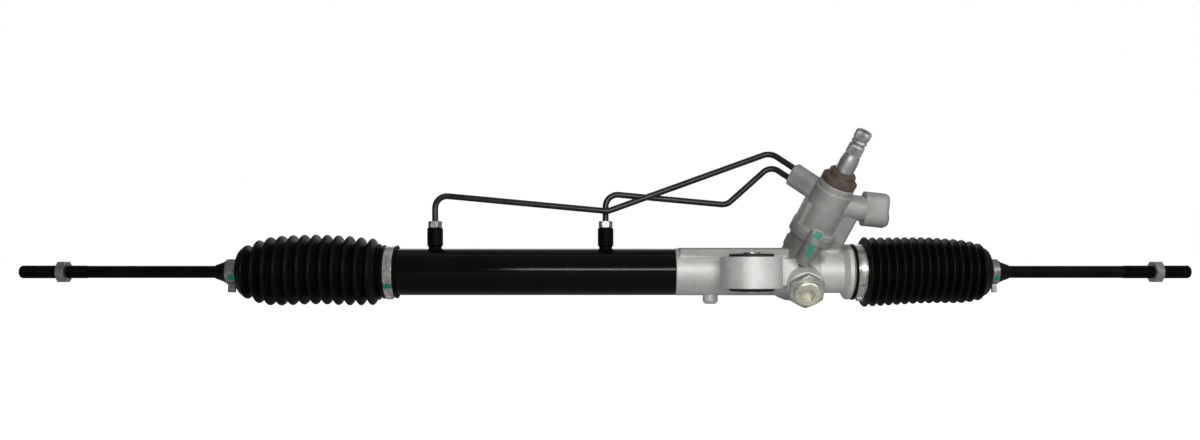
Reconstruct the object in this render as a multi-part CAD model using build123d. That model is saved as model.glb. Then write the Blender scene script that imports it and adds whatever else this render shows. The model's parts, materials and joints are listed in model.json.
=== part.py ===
from build123d import *
import os
from math import acos, atan, cos, degrees, pi, radians, sin, sqrt, tan

# Hydraulic power steering rack, in millimetres.
# X runs along the rack, Z is up in the car and -Y faces the mounting eye.
# The origin is on the rack axis, in the middle of the power cylinder.

# ---- rack and pinion mesh ----
RACK_DIAMETER = 26.0
NORMAL_MODULE = 2.0
PINION_TEETH = 7
PINION_HELIX = 15.0
PRESSURE_ANGLE = 20.0
PROFILE_SHIFT = 0.55
PINION_TIP_RADIUS = 9.8
RACK_ADDENDUM = 0.92
RACK_DEDENDUM = 0.92
TOOTH_LAND_HEIGHT = 8.0
BACKLASH = 0.16
ROOT_CLEARANCE = 0.25
FOOT_RELIEF = 0.05
STROKE = 72.0
SHAFT_ANGLE = 70.0
PINION_ROLL = 29.5
PINION_X = 300.0
PINION_FACE = 27.0
PINION_NECK = 3.0
RACK_TOOTHED_MARGIN = 12.0

# ---- fits ----
RUNNING_FIT = 0.05
SEAT_FIT = 0.05
OPEN_FIT = 0.3

# ---- power cylinder ----
TUBE_OD = 50.6
TUBE_BORE = 42.0
TUBE_LEFT = -165.0
TUBE_SHOULDER = 167.5
SPIGOT_OD = 46.0
SPIGOT_LENGTH = 26.0
PISTON_WIDTH = 18.0
PISTON_RING_WIDTH = 4.0
PISTON_RING_DEPTH = 3.0
PORT_OFFSET = 92.5
PORT_BOSS_OD = 17.0
PORT_BOSS_TOP = 48.0
PORT_BOSS_NECK = 14.0
PORT_HOLE = 8.0
SEAL_INNER_FACE = 104.0
SEAL_WIDTH = 8.0
GLAND_END_GAP = 4.0
HOLDER_LENGTH = 24.0
WIRE_RING = 2.0
WIRE_RING_INSET = 20.0

# ---- gear housing ----
HOUSING_OD = 51.0
HOUSING_RIGHT = 358.0
RAIL_HALF_WIDTH = 20.0
RAIL_TOP = 26.0
RAIL_INSET = 4.5
RAIL_FILLET = 2.5
RAIL_RIGHT = 288.0
STEP_LENGTH = 13.0
RACK_CAVITY = 29.0
SNOUT_OD = 46.0
SNOUT_START = 322.0
FLANGE_OD = 60.0
FLANGE_WIDTH = 7.0
BOOT_SEAT_OD = 54.0
BOOT_SEAT_LENGTH = 14.0
SOCKET_POCKET = 41.0
SOCKET_POCKET_DEPTH = 26.0
RACK_BUSH_OD = 32.0
RACK_BUSH_LENGTH = 20.0
STUB_X = 206.0
STUB_OD = 16.5
STUB_BOTTOM = -34.5
PINION_TOWER_RADIUS = 21.5
PINION_TOWER_BOTTOM = -36.0
PINION_TOWER_TAPER = 5.0
TOWER_TAPER_START = -20.0
BRIDGE_SIZE = (30.0, 26.0)
BRIDGE_OFFSET = (-18.0, -14.0)
PINION_CAVITY_RADIUS = 11.5
PAD_ANGLE = -101.0
PAD_RADIUS = 5.0
PAD_INSET = 3.5
PAD_BOTTOM = 20.0
PAD_TOP = 31.0
TOWER_WALL_BOTTOM = 16.0

# ---- mounting eye ----
EYE_X = 244.5
EYE_Y = -44.5
EYE_OD = 64.5
EYE_HALF_HEIGHT = 16.4
EYE_WEB_INSET = 8.0
BUSH_OD = 43.0
BUSH_HALF_HEIGHT = 19.6
BUSH_FLANGE_OD = 47.0
SLEEVE_OD = 18.0
SLEEVE_BORE = 12.2
SLEEVE_HALF_HEIGHT = 21.0

# ---- rack guide ----
GUIDE_OFFSET = 4.0
YOKE_BOSS_OD = 39.5
YOKE_BOSS_FACE = 36.0
GUIDE_DIAMETER = 26.0
GUIDE_FACE = 28.0
GUIDE_SADDLE_EDGE = 4.0
GUIDE_POCKET = 6.0
LINER_THICKNESS = 0.8
PLUG_DIAMETER = 28.0
PLUG_INNER_FACE = 29.5
PLUG_OUTER_FACE = 48.5
PLUG_POCKET = 6.0
PLUG_SOCKET_FLATS = 14.0
PLUG_SOCKET_DEPTH = 7.0
LOCK_NUT_FLATS = 35.5
LOCK_NUT_HEIGHT = 7.0
SPRING_WIRE = 2.6
SPRING_DIAMETER = 14.0

# ---- pinion shaft and its bearings, as heights along the pinion axis ----
JOURNAL_RADIUS = 6.0
JOURNAL_BOTTOM = -28.0
LOWER_BEARING_OD = 18.0
LOWER_BEARING_HEIGHT = 12.0
END_CAP_RADIUS = 12.0
UPPER_BEARING_BOTTOM = 22.5
UPPER_BEARING_HEIGHT = 12.0
UPPER_BEARING_OD = 37.0
BEARING_BALLS = 9
UPPER_JOURNAL_RADIUS = 10.0
PINION_SEAL_BOTTOM = 36.0
PINION_SEAL_HEIGHT = 7.0
PINION_TOP = 62.0
FLANGE_SPLIT = 47.0

# ---- control valve ----
VALVE_FLANGE_RADIUS = 25.0
VALVE_FLANGE_HEIGHT = 7.0
VALVE_BODY_RADIUS = 20.5
VALVE_NECK_BOTTOM = 98.0
VALVE_NECK_RADIUS = 19.3
VALVE_TOP = 106.0
VALVE_BORE_RADIUS = 17.0
SLEEVE_BOTTOM = 65.0
SLEEVE_TOP = 96.5
SLEEVE_BORE_RADIUS = 10.0
SLEEVE_RING_WIDTH = 2.0
NEEDLE_BEARING_HEIGHT = 5.0
NEEDLE_BEARING_RADIUS = 13.0
INPUT_SEAL_RADIUS = 15.0
SNAP_RING_HEIGHT = 1.4
DUST_COVER_BOTTOM = 107.0
DUST_COVER_HEIGHT = 14.0
DUST_COVER_WALL = 2.0
DUST_COVER_RADIUS = 19.0
INPUT_RADIUS = 9.8
INPUT_TOP = 168.0
INPUT_SPLINE_RADIUS = 8.5
INPUT_SPLINE_LENGTH = 26.0
INPUT_CLAMP_GROOVE = 1.6
TORSION_BAR_RADIUS = 2.6
TORSION_BAR_DEPTH = 8.0
PILOT_RADIUS = 7.0
PILOT_DEPTH = 12.0
BOLT_THREAD = 8.0
BOLT_HEAD_FLATS = 13.0
BOLT_HEAD_HEIGHT = 5.5
BOLT_LENGTH = 24.0
BOLT_CIRCLE_RADIUS = 30.5
BOLT_ANGLES = (-11.0, 169.0)
LUG_RADIUS = 8.0

# ---- valve ports ----
LINE_PORT_HEIGHT = 87.0
LINE_PORT_PITCH = 12.4
LINE_BLOCK_REACH = 50.0
LINE_BLOCK_ANGLE = -132.0
LINE_BLOCK_WIDTH = 25.0
LINE_BLOCK_DEPTH = 18.0
HOSE_PORT_HEIGHT = 79.0
HOSE_PORT_DIRECTION = (1.0, 0.10, -0.10)
VALVE_WALL_TOP = 78.0
WALL_FILLET = 4.0
LEFT_WALL = (-100.0, 22.5, 26.0)
RIGHT_WALL = (79.0, 36.0, 13.0)
HOSE_PORT_REACHES = (66.0, 64.0)
HOSE_NECK_OD = 27.0
HOSE_PORT_PITCH = 17.0
HOSE_BOSS_OD = 20.0
HOSE_BOSS_LENGTH = 26.0
HOSE_BOSS_CHAMFER = 3.0
HOSE_SPOT_FACE_RADIUS = 8.2
HOSE_PORT_BORE = 13.0
HOSE_PORT_DEPTHS = (16.0, 15.0)
PORT_SEAL_THICKNESS = 1.2

# ---- transfer lines ----
LINE_OD = 6.6
LINE_NUT_FLATS = 13.0
LINE_NUT_HEIGHT = 7.0
LINE_NUT_SHANK = 10.0
SUNK_NUT_STEP = 1.2
LONG_LINE_CORNERS = [(-92.5, 0.0, 83.5), (95.0, -8.5, 65.5)]
LONG_LINE_PEAK_RUN = 35.0
LONG_LINE_RADII = [13.0, 16.0, 14.0]
SHORT_LINE_CORNERS = [(92.5, 0.0, 85.0), (224.5, 6.0, 73.0)]
SHORT_LINE_PEAK_RUN = 28.0
SHORT_LINE_RADII = [13.0, 14.0, 12.0]

# ---- tie rods ----
BALL_RADIUS = 12.5
SEAT_RADIUS = 14.2
SOCKET_OD = 36.0
SOCKET_BACK = 25.0
SOCKET_FRONT = 13.0
SOCKET_LIP = 7.5
SOCKET_FLATS = 32.0
SPIGOT_THREAD = 16.0
SPIGOT_DEPTH = 9.0
LOCK_WASHER = 2.0
LEFT_BALL_X = -263.0
RIGHT_BALL_X = 447.0
ROD_REACH = 279.0
ROD_DIAMETER = 13.2
ROD_NECK = 11.0
THREAD_DIAMETER = 14.0
LEFT_THREAD_LENGTH = 42.0
RIGHT_THREAD_LENGTH = 32.0
JAM_NUT_FLATS = 22.0
JAM_NUT_HEIGHT = 9.0

# ---- boots ----
BOOT_WALL = 1.6
FOLD_DEPTH = 4.6
END_DROP = 9.0
LEFT_CREST_ODS = (76.0, 76.5)
RIGHT_CREST_ODS = (75.5, 67.5)
LEFT_SEAT = -132.5
LEFT_NECK = -304.5
LEFT_CRESTS = 12
LEFT_CREST_PITCH = 12.3
LEFT_FIRST_CREST = -160.0
RIGHT_SEAT = 358.4
RIGHT_NECK = 507.5
RIGHT_CRESTS = 15
RIGHT_CREST_PITCH = 8.76
RIGHT_FIRST_CREST = 372.9
BOOT_NECK_OD = 25.0
CREST_FLAT = 0.16
COLLAR_LIP = 1.5
BOOT_TAIL = 12.0
SEAT_BAND_WIDTH = 9.5
SEAT_BAND_INSET = 2.6
SEAT_BAND_THICKNESS = 0.9
BAND_EAR_ANGLE = 160.0
LEFT_CLIP_WIDTH = 11.0
RIGHT_CLIP_WIDTH = 7.0
CLIP_INSET = 1.5
CLIP_THICKNESS = 1.3
CLIP_TAB = 9.0
CLIP_TAB_GAP = 1.6
CLIP_TAB_ANGLE = -12.0

# ---- derived frames and mesh geometry ----
rack_radius = RACK_DIAMETER / 2
roll_up = Vector(0, -sin(radians(PINION_ROLL)), cos(radians(PINION_ROLL)))
guide_out = Vector(0, -cos(radians(PINION_ROLL)), -sin(radians(PINION_ROLL)))
along = Vector(1, 0, 0)
pinion_up = along * cos(radians(SHAFT_ANGLE)) + roll_up * sin(radians(SHAFT_ANGLE))
across = pinion_up.cross(guide_out)

helix = radians(PINION_HELIX)
tooth_line_angle = SHAFT_ANGLE + PINION_HELIX
pitch_radius = PINION_TEETH * NORMAL_MODULE / (2 * cos(helix))
transverse_angle = atan(tan(radians(PRESSURE_ANGLE)) / cos(helix))
base_radius = pitch_radius * cos(transverse_angle)
reference_offset = pitch_radius + PROFILE_SHIFT * NORMAL_MODULE
land_offset = RACK_ADDENDUM * NORMAL_MODULE
rack_root_depth = land_offset + RACK_DEDENDUM * NORMAL_MODULE
centre_distance = TOOTH_LAND_HEIGHT - land_offset + reference_offset
pinion_root_radius = reference_offset - land_offset - ROOT_CLEARANCE
rack_tooth_pitch = pi * NORMAL_MODULE / sin(radians(tooth_line_angle))
toothed_half = STROKE + PINION_FACE * cos(radians(SHAFT_ANGLE)) / 2 + RACK_TOOTHED_MARGIN

crossing = Vector(PINION_X, 0, 0) - guide_out * centre_distance
pinion_frame = Plane(origin=crossing, x_dir=guide_out, z_dir=pinion_up)
guide_x = PINION_X + GUIDE_OFFSET
guide_frame = Plane(origin=Vector(guide_x, 0, 0), x_dir=along, z_dir=guide_out)
eye_frame = Plane(origin=(EYE_X, EYE_Y, 0))


def at_height(height):
    """Point on the pinion axis."""
    return crossing + pinion_up * height


def turned(*profile):
    """Solid of revolution about the rack axis from (x, radius) points."""
    return revolve(make_face(Polyline(*profile, close=True)), Axis.X)


def ring(x0, x1, outer, inner=0.0):
    """Plain ring about the rack axis, by radii."""
    body = Plane.YZ.offset(x0) * Cylinder(outer, x1 - x0, align=(Align.CENTER, Align.CENTER, Align.MIN))
    if inner > 0:
        body -= Plane.YZ.offset(x0) * Cylinder(inner, x1 - x0, align=(Align.CENTER, Align.CENTER, Align.MIN))
    return body


def post(frame, bottom, top, radius, bore=0.0):
    """Round post along a frame's axis."""
    foot = (Align.CENTER, Align.CENTER, Align.MIN)
    body = Pos(0, 0, bottom) * Cylinder(radius, top - bottom, align=foot)
    if bore > 0:
        body -= Pos(0, 0, bottom) * Cylinder(bore, top - bottom, align=foot)
    return frame * body


def spun(frame, *profile):
    """Solid of revolution about a frame's axis from (radius, height) points."""
    face = make_face(Plane.XZ * Polyline(*profile, close=True))
    return frame * revolve(face, Axis.Z)


def hex_prism(frame, flats, bottom, top, bore=0.0):
    """Hexagonal nut or head along a frame's axis, its outer corners chamfered."""
    corner = flats / sqrt(3)
    height = top - bottom
    nut = extrude(RegularPolygon(corner, 6), height)
    rim = corner - flats / 2
    cone = spun(
        Plane.XY,
        (0, 0),
        (flats / 2, 0),
        (corner, rim * tan(radians(30))),
        (corner, height - rim * tan(radians(30))),
        (flats / 2, height),
        (0, height),
    )
    nut = nut & cone
    if bore > 0:
        nut -= Cylinder(bore, height, align=(Align.CENTER, Align.CENTER, Align.MIN))
    return frame * (Pos(0, 0, bottom) * nut)


# ---- rack and pinion ----
def pinion_tooth_face():
    """Transverse face of the pinion, with involute flanks."""
    half_thickness = (pi / 2 + 2 * PROFILE_SHIFT * tan(radians(PRESSURE_ANGLE))) * NORMAL_MODULE
    half_thickness = (half_thickness - BACKLASH) / cos(helix) / (2 * pitch_radius)
    base_half = half_thickness + tan(transverse_angle) - transverse_angle
    steps = 4
    flank = []
    for i in range(steps + 1):
        radius = base_radius + (PINION_TIP_RADIUS - base_radius) * i / steps
        roll = acos(min(1.0, base_radius / radius))
        flank.append((radius, base_half - (tan(roll) - roll)))

    def polar(radius, angle):
        return (radius * cos(angle), radius * sin(angle))

    foot = (pinion_root_radius, base_half - FOOT_RELIEF)
    gap_half = pi / PINION_TEETH
    edges = []
    for tooth in range(PINION_TEETH):
        middle = 2 * pi * tooth / PINION_TEETH
        low = [polar(r, middle - a) for r, a in flank]
        high = [polar(r, middle + a) for r, a in flank]
        foot_low = polar(foot[0], middle - foot[1])
        foot_high = polar(foot[0], middle + foot[1])
        next_foot = polar(foot[0], middle + 2 * gap_half - foot[1])
        edges.append(Line(foot_low, low[0]))
        edges.append(Spline(*low))
        edges.append(Line(low[-1], high[-1]))
        edges.append(Spline(*reversed(high)))
        edges.append(Line(high[0], foot_high))
        valley = polar(pinion_root_radius, middle + gap_half)
        edges.append(ThreePointArc(foot_high, valley, next_foot))
    return make_face(edges)


def make_pinion():
    """Helical pinion with its journals and the hub that drives the valve sleeve."""
    half = PINION_FACE / 2
    twist = -degrees(PINION_FACE * tan(helix) / pitch_radius)
    face = Pos(0, 0, -half) * pinion_tooth_face()
    teeth = Solid.extrude_linear_with_rotation(
        face.face(), center=(0, 0, -half), normal=(0, 0, PINION_FACE), angle=twist
    )
    # at mid width one tooth points straight at the rack
    teeth = Rot(0, 0, -twist / 2) * teeth
    hub = UPPER_JOURNAL_RADIUS
    shaft = spun(
        Plane.XY,
        (0, JOURNAL_BOTTOM),
        (JOURNAL_RADIUS - 0.6, JOURNAL_BOTTOM),
        (JOURNAL_RADIUS, JOURNAL_BOTTOM + 0.6),
        (JOURNAL_RADIUS, -half),
        (pinion_root_radius, -half),
        (pinion_root_radius, half + PINION_NECK),
        (hub, half + PINION_NECK),
        (hub, UPPER_BEARING_BOTTOM + UPPER_BEARING_HEIGHT),
        (hub + 1, UPPER_BEARING_BOTTOM + UPPER_BEARING_HEIGHT),
        (hub + 1, PINION_TOP),
        (0, PINION_TOP),
    )
    blank = shaft + teeth
    blank -= post(Plane.XY, PINION_TOP - PILOT_DEPTH, PINION_TOP + 1, PILOT_RADIUS)
    blank -= post(Plane.XY, half - TORSION_BAR_DEPTH, PINION_TOP, TORSION_BAR_RADIUS + SEAT_FIT)
    return pinion_frame * blank


def make_rack_bar():
    """Round bar with slanted teeth milled across its upper back."""
    left = LEFT_BALL_X + SOCKET_BACK + LOCK_WASHER
    right = RIGHT_BALL_X - SOCKET_BACK - LOCK_WASHER
    reach = SPIGOT_DEPTH + LOCK_WASHER
    bar = ring(left, right, rack_radius)
    spigot = SPIGOT_THREAD / 2
    bar += ring(left - reach, left, spigot) + ring(right, right + reach, spigot)
    # frame on the tooth lands: x along the rack, z out of the teeth
    lands = Plane(origin=Vector(PINION_X, 0, 0), x_dir=along, z_dir=guide_out * -1)
    relief = Pos(0, 0, TOOTH_LAND_HEIGHT) * Box(
        2 * toothed_half, RACK_DIAMETER, RACK_DIAMETER, align=(Align.CENTER, Align.CENTER, Align.MIN)
    )
    slope = tan(radians(PRESSURE_ANGLE))
    thickness = pi * NORMAL_MODULE / 2
    top_half = thickness / 2 + land_offset * slope
    bottom_half = thickness / 2 - RACK_DEDENDUM * NORMAL_MODULE * slope
    floor = TOOTH_LAND_HEIGHT - rack_root_depth
    gap = make_face(
        Plane.XZ
        * Polyline(
            (-bottom_half, floor),
            (bottom_half, floor),
            (top_half, TOOTH_LAND_HEIGHT),
            (-top_half, TOOTH_LAND_HEIGHT),
            close=True,
        )
    )
    cutter = extrude(gap, RACK_DIAMETER, both=True)
    slant = 90 - tooth_line_angle
    gaps = int((toothed_half - RACK_TOOTHED_MARGIN / 2) / rack_tooth_pitch)
    cutters = [Pos(i * rack_tooth_pitch, 0, 0) * Rot(0, 0, slant) * cutter for i in range(-gaps, gaps + 1)]
    bar -= lands * relief
    bar -= [lands * c for c in cutters]
    return bar


# ---- power cylinder ----
def make_tube():
    """Steel cylinder tube with a turned-down spigot that enters the gear housing."""
    outer, bore = TUBE_OD / 2, TUBE_BORE / 2
    spigot = SPIGOT_OD / 2
    end = TUBE_SHOULDER + SPIGOT_LENGTH
    tube = turned(
        (TUBE_LEFT, bore + 0.8),
        (TUBE_LEFT, outer - 0.8),
        (TUBE_LEFT + 0.8, outer),
        (TUBE_SHOULDER, outer),
        (TUBE_SHOULDER, spigot),
        (end - 1, spigot),
        (end, spigot - 1),
        (end, bore),
        (TUBE_LEFT + 0.8, bore),
    )
    for side in (-1, 1):
        tube -= Pos(side * PORT_OFFSET, 0, 0) * Cylinder(
            PORT_HOLE / 2, TUBE_OD, align=(Align.CENTER, Align.CENTER, Align.MIN)
        )
    return tube


def make_port_boss(side):
    """Threaded boss welded on the tube, its foot saddled to the tube."""
    x = side * PORT_OFFSET
    boss = spun(
        Plane(origin=(x, 0, 0)),
        (PORT_HOLE / 2, TUBE_BORE / 2),
        (PORT_BOSS_NECK / 2, TUBE_BORE / 2),
        (PORT_BOSS_NECK / 2, TUBE_OD / 2 + 1.5),
        (PORT_BOSS_OD / 2, TUBE_OD / 2 + 3.5),
        (PORT_BOSS_OD / 2, PORT_BOSS_TOP - 1),
        (PORT_BOSS_OD / 2 - 1, PORT_BOSS_TOP),
        (LINE_NUT_SHANK / 2 + SEAT_FIT, PORT_BOSS_TOP),
        (LINE_NUT_SHANK / 2 + SEAT_FIT, PORT_BOSS_TOP - LINE_NUT_SHANK),
        (PORT_HOLE / 2, PORT_BOSS_TOP - LINE_NUT_SHANK - 2),
    )
    return boss - ring(x - PORT_BOSS_OD, x + PORT_BOSS_OD, TUBE_OD / 2)


def make_piston():
    """Piston with a groove for its sealing ring."""
    half, outer = PISTON_WIDTH / 2, TUBE_BORE / 2 - 0.25
    groove = outer - PISTON_RING_DEPTH
    slot = PISTON_RING_WIDTH / 2 + SEAT_FIT
    bore = rack_radius + SEAT_FIT
    return turned(
        (-half, bore), (-half, outer - 1), (-half + 1, outer), (-slot, outer), (-slot, groove),
        (slot, groove), (slot, outer), (half - 1, outer), (half, outer - 1), (half, bore),
    )


def make_gland():
    """End bush of the cylinder, with its outer lip and a groove for the wire ring."""
    left = TUBE_LEFT + GLAND_END_GAP
    outer = TUBE_BORE / 2 - SEAT_FIT
    groove = left + WIRE_RING_INSET
    half = WIRE_RING / 2
    return turned(
        (left, rack_radius + RUNNING_FIT),
        (left, outer - 1),
        (left + 1, outer),
        (groove - half, outer),
        (groove - half, outer - WIRE_RING),
        (groove + half, outer - WIRE_RING),
        (groove + half, outer),
        (-SEAL_INNER_FACE - SEAL_WIDTH - SEAT_FIT, outer),
        (-SEAL_INNER_FACE - SEAL_WIDTH - SEAT_FIT, rack_radius + RUNNING_FIT),
    )


def make_rod_seal(side):
    """Lip seal on the rack, open towards the piston."""
    inner_face, back = SEAL_INNER_FACE, SEAL_INNER_FACE + SEAL_WIDTH
    lip = rack_radius + RUNNING_FIT
    outer = TUBE_BORE / 2 - SEAT_FIT
    profile = [
        (back, lip), (back, outer), (inner_face, outer), (inner_face, outer - 2),
        (back - 3, outer - 2.6), (back - 3, lip + 2.6), (inner_face + 1, lip + 1.6),
        (inner_face + 1, lip),
    ]
    return turned(*[(side * x, r) for x, r in profile])


def make_seal_holder():
    """Ring in the tube that backs the right rod seal."""
    left = SEAL_INNER_FACE + SEAL_WIDTH + SEAT_FIT
    outer = TUBE_BORE / 2 - SEAT_FIT
    return turned(
        (left, rack_radius + OPEN_FIT), (left, outer), (left + HOLDER_LENGTH - 1, outer),
        (left + HOLDER_LENGTH, outer - 1), (left + HOLDER_LENGTH, rack_radius + OPEN_FIT),
    )


# ---- gear housing ----
def housing_body():
    """Outer form of the casting around the rack."""
    outer = HOUSING_OD / 2
    flange_left = HOUSING_RIGHT - FLANGE_WIDTH
    seat_end = HOUSING_RIGHT + BOOT_SEAT_LENGTH
    body = turned(
        (TUBE_SHOULDER, 0), (TUBE_SHOULDER, outer - 0.8), (TUBE_SHOULDER + 0.8, outer),
        (SNOUT_START - 4, outer), (SNOUT_START, SNOUT_OD / 2), (flange_left - 4, SNOUT_OD / 2),
        (flange_left, FLANGE_OD / 2 - 1), (flange_left + 1, FLANGE_OD / 2),
        (HOUSING_RIGHT - 2, FLANGE_OD / 2), (HOUSING_RIGHT, BOOT_SEAT_OD / 2),
        (seat_end - 1, BOOT_SEAT_OD / 2), (seat_end, BOOT_SEAT_OD / 2 - 1), (seat_end, 0),
    )
    rail_left = TUBE_SHOULDER + RAIL_INSET
    rail = Pos((rail_left + RAIL_RIGHT) / 2, 0, RAIL_TOP / 2) * Box(
        RAIL_RIGHT - rail_left, 2 * RAIL_HALF_WIDTH, RAIL_TOP
    )
    rail = fillet(rail.edges().filter_by(Axis.X).group_by(Axis.Z)[-1], RAIL_FILLET)
    step = Pos(rail_left + STEP_LENGTH / 2, 0, RAIL_TOP / 4) * Box(
        STEP_LENGTH, 2 * RAIL_HALF_WIDTH + 3, RAIL_TOP / 2 - 1
    )
    stub = spun(
        Plane(origin=(STUB_X, 0, 0)), (0, 0), (STUB_OD / 2, 0), (STUB_OD / 2, STUB_BOTTOM + 3),
        (STUB_OD / 2 - 2.5, STUB_BOTTOM), (0, STUB_BOTTOM),
    )
    return body + rail + step + stub


def eye_body():
    """Mounting eye on the front, with the web that ties it to the barrel."""
    eye = post(eye_frame, -EYE_HALF_HEIGHT, EYE_HALF_HEIGHT, EYE_OD / 2)
    web_height = 2 * EYE_HALF_HEIGHT - 3
    web = Pos(EYE_X, EYE_Y / 2, 0) * Box(EYE_OD - EYE_WEB_INSET, -EYE_Y, web_height)
    return eye + web


def tower_body():
    """Pinion tower, yoke boss and the lugs that take the valve bolts."""
    tower = spun(
        pinion_frame,
        (0, PINION_TOWER_BOTTOM),
        (PINION_TOWER_RADIUS - PINION_TOWER_TAPER, PINION_TOWER_BOTTOM),
        (PINION_TOWER_RADIUS, TOWER_TAPER_START),
        (PINION_TOWER_RADIUS, FLANGE_SPLIT - VALVE_FLANGE_HEIGHT),
        (VALVE_FLANGE_RADIUS, FLANGE_SPLIT - VALVE_FLANGE_HEIGHT),
        (VALVE_FLANGE_RADIUS, FLANGE_SPLIT),
        (0, FLANGE_SPLIT),
    )
    boss = spun(
        guide_frame, (0, 0), (YOKE_BOSS_OD / 2 + 3, 0), (YOKE_BOSS_OD / 2, 14),
        (YOKE_BOSS_OD / 2, YOKE_BOSS_FACE - 1.5), (YOKE_BOSS_OD / 2 - 1.5, YOKE_BOSS_FACE),
        (0, YOKE_BOSS_FACE),
    )
    bridge = Box(BRIDGE_SIZE[0], BRIDGE_SIZE[1], 2 * EYE_HALF_HEIGHT - 4)
    bridge = Pos(PINION_X + BRIDGE_OFFSET[0], BRIDGE_OFFSET[1], 0) * bridge
    body = tower + boss + bridge
    pad = post(Plane.XY, PAD_BOTTOM, PAD_TOP, PAD_RADIUS)
    body += pinion_frame * (Rot(0, 0, PAD_ANGLE) * (Pos(PINION_TOWER_RADIUS - PAD_INSET, 0, 0) * pad))
    body += side_wall(*RIGHT_WALL, TOWER_WALL_BOTTOM, FLANGE_SPLIT)
    for angle in BOLT_ANGLES:
        low = FLANGE_SPLIT - BOLT_LENGTH - 3
        body += pinion_frame * lug(angle, low, FLANGE_SPLIT)
    return body


def bolt_spot(angle):
    """Place of a valve bolt in the pinion frame."""
    return Pos(
        BOLT_CIRCLE_RADIUS * cos(radians(angle)), BOLT_CIRCLE_RADIUS * sin(radians(angle)), 0
    )


def lug(angle, bottom, top):
    """Round column for one bolt, blended to the tower by a web."""
    column = post(Plane.XY, bottom, top, LUG_RADIUS)
    web = Pos(0, 0, (bottom + top) / 2) * Box(BOLT_CIRCLE_RADIUS, 1.6 * LUG_RADIUS, top - bottom)
    web = Rot(0, 0, angle) * (Pos(BOLT_CIRCLE_RADIUS / 2, 0, 0) * web)
    return bolt_spot(angle) * column + web


def side_wall(angle, reach, width, bottom, top):
    """Flat-sided wall that stands out from the pinion axis, its outer edges rounded."""
    wall = Pos(reach / 2, 0, (bottom + top) / 2) * Box(reach, width, top - bottom)
    wall = fillet(wall.edges().filter_by(Axis.Z).group_by(Axis.X)[-1], WALL_FILLET)
    return pinion_frame * (Rot(0, 0, angle) * wall)


def make_gear_housing():
    """Aluminium casting that carries the pinion, the rack guide and the mounting eye."""
    casting = housing_body() + eye_body() + tower_body()
    seat_end = HOUSING_RIGHT + BOOT_SEAT_LENGTH
    pocket = seat_end - SOCKET_POCKET_DEPTH
    bush_left = pocket - RACK_BUSH_LENGTH
    casting -= ring(TUBE_SHOULDER - 1, TUBE_SHOULDER + SPIGOT_LENGTH, SPIGOT_OD / 2 + SEAT_FIT)
    casting -= ring(TUBE_SHOULDER, pocket, RACK_CAVITY / 2)
    casting -= ring(bush_left, pocket, RACK_BUSH_OD / 2)
    casting -= ring(pocket, seat_end + 1, SOCKET_POCKET / 2)
    casting -= post(eye_frame, -2 * EYE_HALF_HEIGHT, 2 * EYE_HALF_HEIGHT, BUSH_OD / 2)
    casting -= post(guide_frame, 0, YOKE_BOSS_FACE, GUIDE_DIAMETER / 2 + SEAT_FIT)
    casting -= post(guide_frame, PLUG_INNER_FACE - 1, YOKE_BOSS_FACE + 1, PLUG_DIAMETER / 2 + SEAT_FIT)
    bearing_bottom = JOURNAL_BOTTOM + 1
    bearing_top = bearing_bottom + LOWER_BEARING_HEIGHT
    casting -= post(pinion_frame, PINION_TOWER_BOTTOM - 1, JOURNAL_BOTTOM - 0.5, END_CAP_RADIUS)
    casting -= post(pinion_frame, JOURNAL_BOTTOM - 1, bearing_top, LOWER_BEARING_OD / 2)
    casting -= post(pinion_frame, bearing_top - 0.5, UPPER_BEARING_BOTTOM, PINION_CAVITY_RADIUS)
    casting -= post(pinion_frame, UPPER_BEARING_BOTTOM, FLANGE_SPLIT + 1, UPPER_BEARING_OD / 2)
    for angle in BOLT_ANGLES:
        low = FLANGE_SPLIT + VALVE_FLANGE_HEIGHT - BOLT_LENGTH - 1
        hole = post(Plane.XY, low, FLANGE_SPLIT + 1, BOLT_THREAD / 2 + SEAT_FIT)
        casting -= pinion_frame * (bolt_spot(angle) * hole)
    return casting


# ---- control valve ----
def side_frame(height, direction):
    """Frame at a height on the pinion axis, looking out along a direction."""
    return Plane(origin=at_height(height), x_dir=pinion_up, z_dir=direction)


def valve_direction(angle):
    """Direction square to the pinion axis, turned about it from the rack guide's side."""
    return guide_out * cos(radians(angle)) + across * sin(radians(angle))


line_frame = side_frame(LINE_PORT_HEIGHT, valve_direction(LINE_BLOCK_ANGLE))
hose_direction = Vector(*HOSE_PORT_DIRECTION).normalized()
hose_frame = Plane(
    origin=at_height(HOSE_PORT_HEIGHT), x_dir=hose_direction.cross(Vector(0, 1, 0)), z_dir=hose_direction
)


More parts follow.
